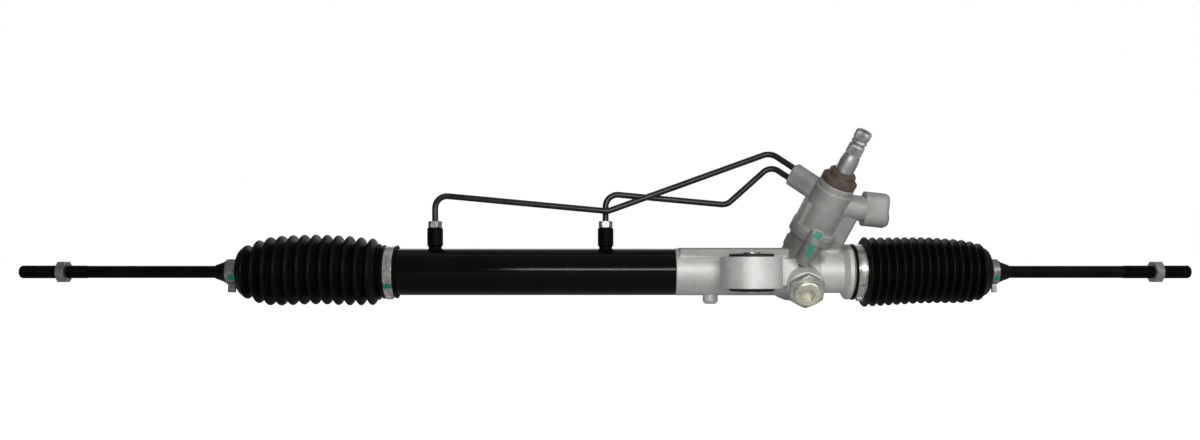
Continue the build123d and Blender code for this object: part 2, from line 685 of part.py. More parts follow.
def make_valve_housing():
    """Casting over the control valve, with the line block and the hose port boss."""
    body = spun(
        pinion_frame,
        (0, FLANGE_SPLIT),
        (VALVE_FLANGE_RADIUS, FLANGE_SPLIT),
        (VALVE_FLANGE_RADIUS, FLANGE_SPLIT + VALVE_FLANGE_HEIGHT - 1.5),
        (VALVE_FLANGE_RADIUS - 1.5, FLANGE_SPLIT + VALVE_FLANGE_HEIGHT),
        (VALVE_BODY_RADIUS, FLANGE_SPLIT + VALVE_FLANGE_HEIGHT),
        (VALVE_BODY_RADIUS, VALVE_NECK_BOTTOM),
        (VALVE_NECK_RADIUS, VALVE_NECK_BOTTOM + 1.2),
        (VALVE_NECK_RADIUS, VALVE_TOP - 1),
        (VALVE_NECK_RADIUS - 1, VALVE_TOP),
        (0, VALVE_TOP),
    )
    top = FLANGE_SPLIT + VALVE_FLANGE_HEIGHT
    for angle in BOLT_ANGLES:
        body += pinion_frame * lug(angle, FLANGE_SPLIT, top)
    block = Box(
        LINE_BLOCK_WIDTH, LINE_BLOCK_DEPTH, LINE_BLOCK_REACH, align=(Align.CENTER, Align.CENTER, Align.MIN)
    )
    block = fillet(block.edges().filter_by(Axis.Z), LINE_BLOCK_DEPTH / 2 - 1.5)
    block = chamfer(block.edges().group_by(Axis.Z)[-1], 0.8)
    body += line_frame * block
    for angle, reach, width in (LEFT_WALL, RIGHT_WALL):
        body += side_wall(angle, reach, width, FLANGE_SPLIT, VALVE_WALL_TOP)
    neck_top = HOSE_PORT_REACHES[0] - HOSE_BOSS_LENGTH
    body += post(hose_frame, 0, neck_top + 1, HOSE_NECK_OD / 2)
    boss = extrude(SlotCenterToCenter(HOSE_PORT_PITCH, HOSE_BOSS_OD), HOSE_BOSS_LENGTH)
    boss = chamfer(boss.edges().group_by(Axis.Z)[-1], HOSE_BOSS_CHAMFER, HOSE_BOSS_CHAMFER / 2)
    body += hose_frame * (Pos(0, 0, neck_top) * boss)
    body -= post(pinion_frame, FLANGE_SPLIT - 1, SLEEVE_TOP + 0.5, VALVE_BORE_RADIUS)
    bearing_top = SLEEVE_TOP + 0.5 + NEEDLE_BEARING_HEIGHT
    body -= post(pinion_frame, SLEEVE_TOP, bearing_top, NEEDLE_BEARING_RADIUS)
    body -= post(pinion_frame, bearing_top - 0.5, VALVE_TOP + 1, INPUT_SEAL_RADIUS)
    for side in (-1, 1):
        shank = LINE_NUT_SHANK / 2 + SEAT_FIT
        port = post(Plane.XY, LINE_BLOCK_REACH - LINE_NUT_SHANK - 2, LINE_BLOCK_REACH + 1, shank)
        port += post(Plane.XY, 0, LINE_BLOCK_REACH, LINE_OD / 2 - 1)
        body -= line_frame * (Pos(side * LINE_PORT_PITCH / 2, 0, 0) * port)
    for side, reach, depth in zip((-1, 1), HOSE_PORT_REACHES, HOSE_PORT_DEPTHS):
        port = post(Plane.XY, reach - depth, reach + 1, HOSE_PORT_BORE / 2)
        port += post(Plane.XY, 8, reach, HOSE_PORT_BORE / 2 - 3)
        port += post(Plane.XY, reach, HOSE_PORT_REACHES[0] + 1, HOSE_SPOT_FACE_RADIUS)
        body -= hose_frame * (Pos(side * HOSE_PORT_PITCH / 2, 0, 0) * port)
    for angle in BOLT_ANGLES:
        hole = post(Plane.XY, FLANGE_SPLIT - 1, top + 1, BOLT_THREAD / 2 + OPEN_FIT)
        body -= pinion_frame * (bolt_spot(angle) * hole)
    return body


def make_valve_bolt(angle):
    """Hexagon bolt that clamps the valve housing to the gear housing."""
    seat = FLANGE_SPLIT + VALVE_FLANGE_HEIGHT
    bolt = hex_prism(Plane.XY, BOLT_HEAD_FLATS, seat, seat + BOLT_HEAD_HEIGHT)
    bolt += post(Plane.XY, seat - BOLT_LENGTH, seat, BOLT_THREAD / 2)
    return pinion_frame * (bolt_spot(angle) * bolt)


def make_valve_sleeve():
    """Rotary sleeve with four ring lands and three oil grooves."""
    outer = VALVE_BORE_RADIUS - 0.3
    land = (SLEEVE_TOP - SLEEVE_BOTTOM) / 4
    sleeve = post(pinion_frame, SLEEVE_BOTTOM, SLEEVE_TOP, outer, SLEEVE_BORE_RADIUS)
    for i in range(4):
        middle = SLEEVE_BOTTOM + land * (i + 0.5)
        half = SLEEVE_RING_WIDTH / 2 + SEAT_FIT
        sleeve -= post(pinion_frame, middle - half, middle + half, outer + 1, outer - 2)
    return sleeve


def make_sleeve_ring(index):
    """Sealing ring in one groove of the valve sleeve."""
    land = (SLEEVE_TOP - SLEEVE_BOTTOM) / 4
    middle = SLEEVE_BOTTOM + land * (index + 0.5)
    half = SLEEVE_RING_WIDTH / 2
    inner = VALVE_BORE_RADIUS - 2.2
    return post(pinion_frame, middle - half, middle + half, VALVE_BORE_RADIUS - RUNNING_FIT, inner)


def make_input_shaft():
    """Input shaft with its splined end and the groove for a clamp bolt."""
    tip = INPUT_TOP
    spline = INPUT_SPLINE_RADIUS
    shaft = spun(
        pinion_frame,
        (TORSION_BAR_RADIUS + SEAT_FIT, PINION_TOP - PILOT_DEPTH + 2),
        (PILOT_RADIUS - RUNNING_FIT, PINION_TOP - PILOT_DEPTH + 2),
        (PILOT_RADIUS - RUNNING_FIT, PINION_TOP + 1),
        (INPUT_RADIUS, PINION_TOP + 1),
        (INPUT_RADIUS, DUST_COVER_BOTTOM + DUST_COVER_HEIGHT + 12),
        (spline + 0.3, tip - INPUT_SPLINE_LENGTH - 3),
        (spline - 0.6, tip - INPUT_SPLINE_LENGTH - 1),
        (spline - 0.6, tip - INPUT_SPLINE_LENGTH),
        (spline, tip - INPUT_SPLINE_LENGTH),
        (spline, tip - 17),
        (spline - INPUT_CLAMP_GROOVE, tip - 15),
        (spline - INPUT_CLAMP_GROOVE, tip - 10),
        (spline, tip - 8),
        (spline, tip - 1),
        (spline - 1, tip),
        (TORSION_BAR_RADIUS + SEAT_FIT, tip),
    )
    return shaft


def make_upper_bearing():
    """Ball bearing of the pinion: outer race, balls and inner race."""
    bottom = UPPER_BEARING_BOTTOM
    top = bottom + UPPER_BEARING_HEIGHT
    inner, outer = UPPER_JOURNAL_RADIUS, UPPER_BEARING_OD / 2
    middle = (inner + outer) / 2
    ball = (outer - inner) * 0.27
    groove = pinion_frame * (Pos(0, 0, (top + bottom) / 2) * Torus(middle, ball + SEAT_FIT))
    outer_race = post(pinion_frame, bottom, top, outer, middle + ball * 0.5) - groove
    inner_race = post(pinion_frame, bottom, top, middle - ball * 0.5, inner) - groove
    first_ball = Pos(middle, 0, (top + bottom) / 2) * Sphere(ball)
    balls = [
        pinion_frame * (Rot(0, 0, i * 360 / BEARING_BALLS) * first_ball) for i in range(BEARING_BALLS)
    ]
    return outer_race, inner_race, balls


# ---- rack guide ----
def make_guide():
    """Round plunger whose saddle follows the back of the rack."""
    guide = post(guide_frame, GUIDE_SADDLE_EDGE, GUIDE_FACE, GUIDE_DIAMETER / 2 - RUNNING_FIT)
    guide -= post(guide_frame, GUIDE_FACE - GUIDE_POCKET, GUIDE_FACE + 1, SPRING_DIAMETER / 2 + 1)
    return guide - ring(guide_x - GUIDE_DIAMETER, guide_x + GUIDE_DIAMETER, liner_outer)


liner_outer = rack_radius + RUNNING_FIT + LINER_THICKNESS


def make_liner():
    """Thin bearing liner between the guide and the rack."""
    half = GUIDE_DIAMETER / 2 - 2
    shell = ring(guide_x - half, guide_x + half, liner_outer - SEAT_FIT, rack_radius + RUNNING_FIT)
    return shell & (guide_frame * (Pos(0, 0, GUIDE_SADDLE_EDGE + 1) * Box(
        2 * half, GUIDE_DIAMETER - 3, RACK_DIAMETER, align=(Align.CENTER, Align.CENTER, Align.MIN)
    )))


def make_guide_spring():
    """Coil spring between the plug and the guide."""
    bottom = GUIDE_FACE - GUIDE_POCKET + SPRING_WIRE / 2 + 0.1
    top = PLUG_INNER_FACE + PLUG_POCKET - SPRING_WIRE / 2 - 0.1
    turns = 2.5
    height = top - bottom
    path = Helix(height / turns, height, SPRING_DIAMETER / 2 - SPRING_WIRE / 2)
    profile = Plane(origin=path @ 0, z_dir=path % 0) * RegularPolygon(SPRING_WIRE / 2, 8)
    return guide_frame * (Pos(0, 0, bottom) * sweep(profile, path, is_frenet=True))


def make_guide_plug():
    """Threaded plug with a blind socket in its outer face."""
    radius = PLUG_DIAMETER / 2
    plug = spun(
        guide_frame,
        (SPRING_DIAMETER / 2 + 1, PLUG_INNER_FACE), (radius, PLUG_INNER_FACE),
        (radius, PLUG_OUTER_FACE - 1.2), (radius - 1.2, PLUG_OUTER_FACE), (0, PLUG_OUTER_FACE),
        (0, PLUG_INNER_FACE + PLUG_POCKET), (SPRING_DIAMETER / 2 + 1, PLUG_INNER_FACE + PLUG_POCKET),
    )
    socket = extrude(RegularPolygon(PLUG_SOCKET_FLATS / sqrt(3), 6), PLUG_SOCKET_DEPTH)
    return plug - guide_frame * (Pos(0, 0, PLUG_OUTER_FACE - PLUG_SOCKET_DEPTH) * socket)


# ---- mounting bush ----
def make_bush_rubber():
    """Rubber bush with a flange at each end, outside the eye."""
    core, flange = BUSH_OD / 2 - SEAT_FIT, BUSH_FLANGE_OD / 2
    inner, half = SLEEVE_OD / 2 + SEAT_FIT, BUSH_HALF_HEIGHT
    face = EYE_HALF_HEIGHT + SEAT_FIT
    return spun(
        eye_frame,
        (inner, -half), (flange - 1, -half), (flange, -half + 1), (flange, -face), (core, -face),
        (core, face), (flange, face), (flange, half - 1), (flange - 1, half), (inner, half),
    )


def make_bush_sleeve():
    """Steel sleeve that takes the mounting bolt."""
    return post(eye_frame, -SLEEVE_HALF_HEIGHT, SLEEVE_HALF_HEIGHT, SLEEVE_OD / 2, SLEEVE_BORE / 2)


# ---- tie rods ----
def clip_width(x):
    """Width of the small clip on the side where x lies."""
    return LEFT_CLIP_WIDTH if x < 0 else RIGHT_CLIP_WIDTH


def facing(ball_x):
    """Frame at a ball centre, looking out along its tie rod."""
    side = 1 if ball_x > 0 else -1
    return Plane(origin=(ball_x, 0, 0), x_dir=(0, 1, 0), z_dir=(side, 0, 0))


def make_socket(ball_x):
    """Steel socket screwed on the rack, with wrench flats and a rolled mouth."""
    outer = SOCKET_OD / 2
    mouth = SOCKET_FRONT
    throat = sqrt(SEAT_RADIUS**2 - SOCKET_LIP**2)
    socket = spun(
        facing(ball_x),
        (0, -SOCKET_BACK), (outer - 3, -SOCKET_BACK), (outer - 1, -SOCKET_BACK + 2),
        (outer, -SOCKET_BACK + 4), (outer, SOCKET_LIP - 2), (outer - 3, mouth - 1),
        (outer - 4, mouth), (throat + 1.6, mouth), (throat, SOCKET_LIP), (0, SOCKET_LIP),
    )
    socket -= facing(ball_x) * Sphere(SEAT_RADIUS + RUNNING_FIT)
    thread = SPIGOT_THREAD / 2 + SEAT_FIT
    socket -= post(facing(ball_x), -SOCKET_BACK - 1, -SOCKET_BACK + SPIGOT_DEPTH + SEAT_FIT, thread)
    flats = Box(SOCKET_OD, SOCKET_OD, SOCKET_BACK - 6, align=(Align.CENTER, Align.CENTER, Align.MAX))
    flats -= Box(SOCKET_FLATS, 2 * SOCKET_OD, 3 * SOCKET_BACK)
    return socket - facing(ball_x) * (Pos(0, 0, -6) * flats)


def make_seat(ball_x):
    """Plastic cup between the ball and its socket."""
    frame = facing(ball_x)
    cup = Sphere(SEAT_RADIUS) - Sphere(BALL_RADIUS + RUNNING_FIT)
    cup -= Pos(0, 0, SOCKET_LIP - 1) * Cylinder(
        SEAT_RADIUS + 1, SEAT_RADIUS, align=(Align.CENTER, Align.CENTER, Align.MIN)
    )
    return frame * cup


def thread_length(ball_x):
    """Thread that each rod leaves free outside its jam nut."""
    return LEFT_THREAD_LENGTH if ball_x < 0 else RIGHT_THREAD_LENGTH


def make_tie_rod(ball_x):
    """Inner tie rod: ball, waisted neck, plain shank with a boot groove, threaded end."""
    neck, rod, thread = ROD_NECK / 2, ROD_DIAMETER / 2, THREAD_DIAMETER / 2
    half = clip_width(ball_x) / 2 + 1
    boot = abs((LEFT_NECK if ball_x < 0 else RIGHT_NECK) - ball_x) + half + CLIP_INSET
    foot = sqrt(BALL_RADIUS**2 - neck**2)
    thread_start = ROD_REACH - thread_length(ball_x)
    rod_body = spun(
        facing(ball_x),
        (0, foot - 2), (neck, foot - 2), (neck, foot + 6), (rod, foot + 12),
        (rod, boot - half), (rod - 0.6, boot - half), (rod - 0.6, boot + half), (rod, boot + half),
        (rod, thread_start), (thread, thread_start),
        (thread, ROD_REACH - 2.5), (thread - 1.2, ROD_REACH - 1.2), (thread - 3, ROD_REACH),
        (0, ROD_REACH),
    )
    return rod_body + facing(ball_x) * Sphere(BALL_RADIUS)


def make_jam_nut(ball_x):
    """Lock nut on the tie rod's thread."""
    end = ROD_REACH - thread_length(ball_x)
    bore = ROD_DIAMETER / 2 + SEAT_FIT
    frame = facing(ball_x)
    return hex_prism(frame, JAM_NUT_FLATS, end - JAM_NUT_HEIGHT, end, bore)


# ---- boots ----
def make_boot(seat_x, seat_radius, neck_x, crests, pitch, first_crest, crest_ods):
    """Rubber bellows: seat collar, folds, rounded shoulder and neck, hollow throughout."""
    side = -1 if neck_x < seat_x else 1
    collar = seat_radius + OPEN_FIT
    rim = collar + BOOT_WALL + COLLAR_LIP
    band_left = SEAT_BAND_INSET - 0.2
    band_right = SEAT_BAND_INSET + SEAT_BAND_WIDTH + 0.2
    neck, bore = BOOT_NECK_OD / 2, ROD_DIAMETER / 2 + OPEN_FIT

    def at(distance, radius):
        """Point of the profile at a distance from the boot's big end."""
        return (seat_x + side * distance, radius)

    first = abs(first_crest - seat_x)
    length = abs(neck_x - seat_x)
    last = first + pitch * (crests - 1)
    outer = [
        at(0, collar), at(0, rim), at(band_left - 0.4, rim), at(band_left, rim - COLLAR_LIP),
        at(band_right, rim - COLLAR_LIP), at(band_right + 0.3, rim),
    ]
    for i in range(crests):
        share = i / (crests - 1)
        top = (crest_ods[0] * (1 - share) + crest_ods[1] * share) / 2
        top -= END_DROP * max(0, (i - crests + 4) / 3) ** 2
        middle = first + pitch * i
        outer += [at(middle - pitch / 2, top - FOLD_DEPTH)] if i else []
        outer += [at(middle - pitch * CREST_FLAT, top), at(middle + pitch * CREST_FLAT, top)]
    shoulder = length - last
    outer += [at(last + shoulder * 0.6, top - 4), at(length - 1, neck + 6), at(length, neck)]
    tail = length + clip_width(neck_x) + 2 * CLIP_INSET
    outer += [at(tail, neck), at(tail + 1, neck - 1.5), at(tail + BOOT_TAIL, bore + 1.2)]
    fold_floor = crest_ods[0] / 2 - FOLD_DEPTH - BOOT_WALL
    end_floor = crest_ods[1] / 2 - FOLD_DEPTH - BOOT_WALL
    inner = [
        at(tail + BOOT_TAIL, bore), at(length - 2, bore), at(last - pitch, end_floor - 5),
        at(last - 3 * pitch, end_floor), at(first, fold_floor), at(band_right + 0.8, collar),
    ]
    return turned(*outer, *inner)


def make_band(seat_x, seat_radius, side):
    """Wide metal band round a boot's collar, with its crimped ear."""
    inner = seat_radius + OPEN_FIT + BOOT_WALL + SEAT_FIT
    outer = inner + SEAT_BAND_THICKNESS
    left = seat_x + side * SEAT_BAND_INSET
    right = left + side * SEAT_BAND_WIDTH
    band = ring(min(left, right), max(left, right), outer, inner)
    ear = Pos((left + right) / 2, 0, 0) * (Rot(BAND_EAR_ANGLE, 0, 0) * (
        Pos(0, 0, outer + 0.9) * Box(SEAT_BAND_WIDTH - 2, 7, 2.4)
    ))
    return band + ear


def make_clip(neck_x, side):
    """Narrow spring clip round a boot's neck, with its two pinch tabs."""
    inner = BOOT_NECK_OD / 2 + SEAT_FIT
    outer = inner + CLIP_THICKNESS
    width = clip_width(neck_x)
    middle = neck_x + side * (width / 2 + CLIP_INSET)
    clip = ring(middle - width / 2, middle + width / 2, outer, inner)
    for lean in (-1, 1):
        tab = Pos(0, lean * CLIP_TAB_GAP, -outer - CLIP_TAB / 2 + 0.6) * Box(
            width * 0.7, CLIP_THICKNESS, CLIP_TAB
        )
        clip += Pos(middle, 0, 0) * (Rot(CLIP_TAB_ANGLE, 0, 0) * tab)
    return clip


# ---- transfer lines ----
def line_port(side):
    """Mouth of one line port on the valve block."""
    return line_frame.origin + line_frame.z_dir * LINE_BLOCK_REACH + line_frame.x_dir * (
        side * LINE_PORT_PITCH / 2
    )


def bent_line(points, radii):
    """Steel line through its corner points, bent to the given radii."""
    path = FilletPolyline(*points, radius=radii)
    start = Plane(origin=points[0], z_dir=points[1] - points[0])
    return sweep(start * Circle(LINE_OD / 2), path)


def line_points(side, valve_side, corners, peak_run):
    """Whole route of a line: riser from its tube boss, free corners, entry into the valve."""
    foot = Vector(side * PORT_OFFSET, 0, PORT_BOSS_TOP - LINE_NUT_SHANK + 1)
    mouth = line_port(valve_side)
    peak = mouth + line_frame.z_dir * peak_run
    inside = mouth - line_frame.z_dir * (LINE_NUT_SHANK - 1)
    return [foot, *[Vector(*c) for c in corners], peak, inside]


def make_line_nut(frame):
    """Flare nut of a transfer line: hexagon outside, threaded shank inside."""
    bore = LINE_OD / 2 + SEAT_FIT
    nut = hex_prism(frame, LINE_NUT_FLATS, 0, LINE_NUT_HEIGHT, bore)
    return nut + post(frame, -LINE_NUT_SHANK + 0.5, 0, LINE_NUT_SHANK / 2, bore)


def make_sunk_nut(frame):
    """Headless nut that holds a line in the valve housing, nearly flush with the block."""
    bore = LINE_OD / 2 + SEAT_FIT
    radius = LINE_NUT_SHANK / 2
    return spun(
        frame, (bore, -LINE_NUT_SHANK + 0.5), (radius, -LINE_NUT_SHANK + 0.5), (radius, SUNK_NUT_STEP - 0.6),
        (radius - 0.6, SUNK_NUT_STEP), (bore, SUNK_NUT_STEP),
    )


# ---- small turned pieces ----
def make_wire_ring():
    """Round wire that locks the end gland in the tube."""
    middle = TUBE_LEFT + GLAND_END_GAP + WIRE_RING_INSET
    half = WIRE_RING / 2 - SEAT_FIT
    inner = TUBE_BORE / 2 - SEAT_FIT - WIRE_RING
    return ring(middle - half, middle + half, TUBE_BORE / 2 - SEAT_FIT, inner)


def make_piston_ring():
    """Plastic sealing ring in the piston's groove."""
    half = PISTON_RING_WIDTH / 2
    inner = TUBE_BORE / 2 - 0.25 - PISTON_RING_DEPTH
    return ring(-half, half, TUBE_BORE / 2 - RUNNING_FIT, inner)


def make_rack_bush():
    """Plain bush in the right end of the gear housing."""
    right = HOUSING_RIGHT + BOOT_SEAT_LENGTH - SOCKET_POCKET_DEPTH
    left = right - RACK_BUSH_LENGTH
    outer = RACK_BUSH_OD / 2 - SEAT_FIT
    inner = rack_radius + RUNNING_FIT
    return turned(
        (left, inner), (left, outer - 1), (left + 1, outer), (right - 0.1, outer), (right - 0.1, inner),
    )


def make_lower_bearing():
    """Needle bearing shell round the pinion's lower journal."""
    bottom = JOURNAL_BOTTOM + 1
    outer = LOWER_BEARING_OD / 2 - SEAT_FIT
    return post(pinion_frame, bottom, bottom + LOWER_BEARING_HEIGHT, outer, JOURNAL_RADIUS + RUNNING_FIT)


def make_end_cap():
    """Pressed cap that closes the bottom of the pinion bore."""
    top = JOURNAL_BOTTOM - 0.5 - SEAT_FIT
    radius = END_CAP_RADIUS - SEAT_FIT
    return spun(
        pinion_frame, (0, top), (radius, top), (radius, PINION_TOWER_BOTTOM - 1),
        (radius - 2, PINION_TOWER_BOTTOM - 1), (radius - 2, top - 2), (0, top - 2),
    )


def make_pinion_seal():
    """Lip seal above the pinion's ball bearing."""
    bottom, top = PINION_SEAL_BOTTOM, PINION_SEAL_BOTTOM + PINION_SEAL_HEIGHT
    outer = UPPER_BEARING_OD / 2 - SEAT_FIT
    lip = UPPER_JOURNAL_RADIUS + 1 + RUNNING_FIT
    return spun(
        pinion_frame, (lip, bottom), (outer, bottom), (outer, top), (outer - 2.4, top),
        (outer - 2.4, bottom + 2), (lip + 2.2, bottom + 2), (lip + 1.4, top - 1), (lip, top - 1),
    )


def make_needle_bearing():
    """Needle bearing that guides the input shaft."""
    bottom = SLEEVE_TOP + 0.5 + SEAT_FIT
    top = bottom + NEEDLE_BEARING_HEIGHT - 2 * SEAT_FIT
    return post(pinion_frame, bottom, top, NEEDLE_BEARING_RADIUS - SEAT_FIT, INPUT_RADIUS + RUNNING_FIT)


def make_input_seal():
    """Lip seal round the input shaft."""
    bottom = SLEEVE_TOP + 0.5 + NEEDLE_BEARING_HEIGHT
    top = VALVE_TOP - SNAP_RING_HEIGHT - SEAT_FIT
    outer, lip = INPUT_SEAL_RADIUS - SEAT_FIT, INPUT_RADIUS + RUNNING_FIT
    return spun(
        pinion_frame, (lip, bottom + 0.6), (lip + 1.5, bottom), (outer, bottom), (outer, top),
        (lip + 1, top), (lip, top - 0.8),
    )


def make_snap_ring():
    """Open ring that holds the input seal down."""
    bottom = VALVE_TOP - SNAP_RING_HEIGHT
    outer = INPUT_SEAL_RADIUS - SEAT_FIT
    washer = post(Plane.XY, bottom, VALVE_TOP - 0.1, outer, outer - 2.2)
    return pinion_frame * (washer - Pos(outer, 0, VALVE_TOP) * Box(6, 5, 4))


def make_dust_cover():
    """Rubber cover over the top of the valve housing, with a lip on the input shaft."""
    bottom, wall = DUST_COVER_BOTTOM, DUST_COVER_WALL
    top = bottom + DUST_COVER_HEIGHT
    outer, lip = DUST_COVER_RADIUS, INPUT_RADIUS + RUNNING_FIT
    return spun(
        pinion_frame,
        (outer - wall, bottom), (outer, bottom), (outer, bottom + 5), (outer - 4, bottom + 8),
        (outer - 4.6, top - 2), (lip + 2.4, top), (lip, top), (lip, top - 2.2),
        (outer - 4.8 - wall, top - 3), (outer - 4 - wall, bottom + 7), (outer - wall, bottom + 4),
    )


def make_torsion_bar():
    """Spring steel bar that lets the input shaft twist against the pinion."""
    bottom = PINION_FACE / 2 - TORSION_BAR_DEPTH + SEAT_FIT
    waist = TORSION_BAR_RADIUS - 0.5
    full = TORSION_BAR_RADIUS
    return spun(
        pinion_frame, (0, bottom), (full, bottom), (full, bottom + 10), (waist, bottom + 13),
        (waist, INPUT_TOP - 14), (full, INPUT_TOP - 12), (full, INPUT_TOP - 0.5), (0, INPUT_TOP - 0.5),
    )


def make_port_seal(side, reach):
    """Bonded sealing ring on the mouth of one hose port."""
    outer, inner = HOSE_PORT_BORE / 2 + 1.1, HOSE_PORT_BORE / 2 + 0.4
    seal = post(Plane.XY, reach, reach + PORT_SEAL_THICKNESS, outer, inner)
    return hose_frame * (Pos(side * HOSE_PORT_PITCH / 2, 0, 0) * seal)


def make_lock_washer(ball_x):
    """Washer staked between the socket and the rack's end."""
    outer, inner = SOCKET_OD / 2 - 3, SPIGOT_THREAD / 2 + SEAT_FIT
    return post(facing(ball_x), -SOCKET_BACK - LOCK_WASHER, -SOCKET_BACK, outer, inner)


parts = {}


def keep(name, *solids):
    """Collect the solids of one node."""
    parts.setdefault(name, []).extend(solids)


keep("gear_housing", make_gear_housing())
keep("valve_housing", make_valve_housing())
keep("cylinder_tube", make_tube())
keep("port_bosses", make_port_boss(-1), make_port_boss(1))
keep("valve_bolts", *[make_valve_bolt(angle) for angle in BOLT_ANGLES])
keep("hose_port_seals", *[make_port_seal(side, reach) for side, reach in zip((-1, 1), HOSE_PORT_REACHES)])

long_route = line_points(-1, 1, LONG_LINE_CORNERS, LONG_LINE_PEAK_RUN)
short_route = line_points(1, -1, SHORT_LINE_CORNERS, SHORT_LINE_PEAK_RUN)
keep("long_transfer_line", bent_line(long_route, LONG_LINE_RADII))
keep("short_transfer_line", bent_line(short_route, SHORT_LINE_RADII))
for side in (-1, 1):
    riser = Plane(origin=(side * PORT_OFFSET, 0, PORT_BOSS_TOP))
    keep("cylinder_line_nuts", make_line_nut(riser))
    entry = Plane(origin=line_port(side), x_dir=pinion_up, z_dir=line_frame.z_dir)
    keep("valve_line_nuts", make_sunk_nut(entry))

keep("rack_guide", make_guide())
keep("guide_liner", make_liner())
keep("guide_spring", make_guide_spring())
keep("guide_plug", make_guide_plug())
nut_top = YOKE_BOSS_FACE + LOCK_NUT_HEIGHT
nut_bore = PLUG_DIAMETER / 2 + SEAT_FIT
corner_up = guide_frame.location * Rot(0, 0, 30)
keep("guide_lock_nut", hex_prism(corner_up, LOCK_NUT_FLATS, YOKE_BOSS_FACE, nut_top, nut_bore))
keep("mount_bush_rubber", make_bush_rubber())
keep("mount_bush_sleeve", make_bush_sleeve())

keep("rack_bush", make_rack_bush())
keep("left_rod_seal", make_rod_seal(-1))
keep("right_rod_seal", make_rod_seal(1))
keep("right_seal_holder", make_seal_holder())
keep("cylinder_end_gland", make_gland())
keep("gland_wire_ring", make_wire_ring())
keep("lower_needle_bearing", make_lower_bearing())
keep("pinion_end_cap", make_end_cap())
keep("pinion_seal", make_pinion_seal())
keep("input_needle_bearing", make_needle_bearing())
keep("input_seal", make_input_seal())
keep("input_snap_ring", make_snap_ring())
keep("dust_cover", make_dust_cover())

keep("rack_bar", make_rack_bar())
keep("piston", make_piston())
keep("piston_ring", make_piston_ring())
outer_race, inner_race, bearing_balls = make_upper_bearing()
keep("pinion", make_pinion())
keep("pinion_bearing_outer_race", outer_race)
keep("pinion_bearing_inner_race", inner_race)
keep("pinion_bearing_balls", *bearing_balls)
keep("valve_sleeve", make_valve_sleeve())
keep("sleeve_rings", *[make_sleeve_ring(i) for i in range(4)])
keep("input_shaft", make_input_shaft())
keep("torsion_bar", make_torsion_bar())

for name, ball_x in (("left", LEFT_BALL_X), ("right", RIGHT_BALL_X)):
    keep(f"{name}_socket", make_socket(ball_x))
    keep(f"{name}_lock_washer", make_lock_washer(ball_x))
    keep(f"{name}_ball_seat", make_seat(ball_x))
    keep(f"{name}_tie_rod", make_tie_rod(ball_x))
    keep(f"{name}_jam_nut", make_jam_nut(ball_x))

tube_seat = TUBE_OD / 2
flange_seat = BOOT_SEAT_OD / 2
left_folds = (LEFT_CRESTS, LEFT_CREST_PITCH, LEFT_FIRST_CREST, LEFT_CREST_ODS)
right_folds = (RIGHT_CRESTS, RIGHT_CREST_PITCH, RIGHT_FIRST_CREST, RIGHT_CREST_ODS)
keep("left_boot", make_boot(LEFT_SEAT, tube_seat, LEFT_NECK, *left_folds))
keep("right_boot", make_boot(RIGHT_SEAT, flange_seat, RIGHT_NECK, *right_folds))
keep("left_boot_band", make_band(LEFT_SEAT, tube_seat, -1))
keep("right_boot_band", make_band(RIGHT_SEAT, flange_seat, 1))
keep("left_boot_clip", make_clip(LEFT_NECK, -1))
keep("right_boot_clip", make_clip(RIGHT_NECK, 1))

os.makedirs("parts", exist_ok=True)
for name, solids in parts.items():
    shape = solids[0] if len(solids) == 1 else Compound(children=solids)
    export_step(shape, f"parts/{name}.step")
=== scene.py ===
import json
import math
import bpy
from collections import namedtuple
from mathutils import Matrix, Vector, noise

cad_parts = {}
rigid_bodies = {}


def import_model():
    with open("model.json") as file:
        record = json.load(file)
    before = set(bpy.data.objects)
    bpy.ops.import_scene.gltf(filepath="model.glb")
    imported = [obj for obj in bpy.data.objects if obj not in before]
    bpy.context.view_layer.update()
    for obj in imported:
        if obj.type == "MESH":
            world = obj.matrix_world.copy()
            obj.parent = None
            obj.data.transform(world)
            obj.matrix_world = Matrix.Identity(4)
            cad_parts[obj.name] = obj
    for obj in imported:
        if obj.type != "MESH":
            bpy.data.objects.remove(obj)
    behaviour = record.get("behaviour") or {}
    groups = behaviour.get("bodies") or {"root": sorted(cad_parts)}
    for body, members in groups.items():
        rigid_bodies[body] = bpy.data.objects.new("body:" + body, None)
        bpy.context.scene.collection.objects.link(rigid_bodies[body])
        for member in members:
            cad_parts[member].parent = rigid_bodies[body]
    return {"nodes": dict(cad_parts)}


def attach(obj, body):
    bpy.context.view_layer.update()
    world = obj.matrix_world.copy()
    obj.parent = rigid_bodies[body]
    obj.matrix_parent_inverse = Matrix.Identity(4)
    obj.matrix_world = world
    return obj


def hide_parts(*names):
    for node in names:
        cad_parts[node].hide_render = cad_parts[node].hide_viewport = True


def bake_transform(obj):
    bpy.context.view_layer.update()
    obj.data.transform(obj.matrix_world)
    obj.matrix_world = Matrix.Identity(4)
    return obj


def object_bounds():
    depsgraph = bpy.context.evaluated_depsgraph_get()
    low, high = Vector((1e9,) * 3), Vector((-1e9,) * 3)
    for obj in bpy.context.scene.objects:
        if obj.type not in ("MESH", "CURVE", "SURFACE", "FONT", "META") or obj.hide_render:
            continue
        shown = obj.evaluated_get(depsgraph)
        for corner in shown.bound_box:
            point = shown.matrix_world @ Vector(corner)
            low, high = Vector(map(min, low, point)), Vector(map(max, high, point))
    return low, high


# Power steering rack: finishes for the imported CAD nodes, with finer boots, tie rods and input shaft.
# Shapes are given in millimetres in the CAD's own frame, and become metres where a mesh is made.

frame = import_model()
cad_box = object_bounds()

MM = 0.001
NODES = frame["nodes"]


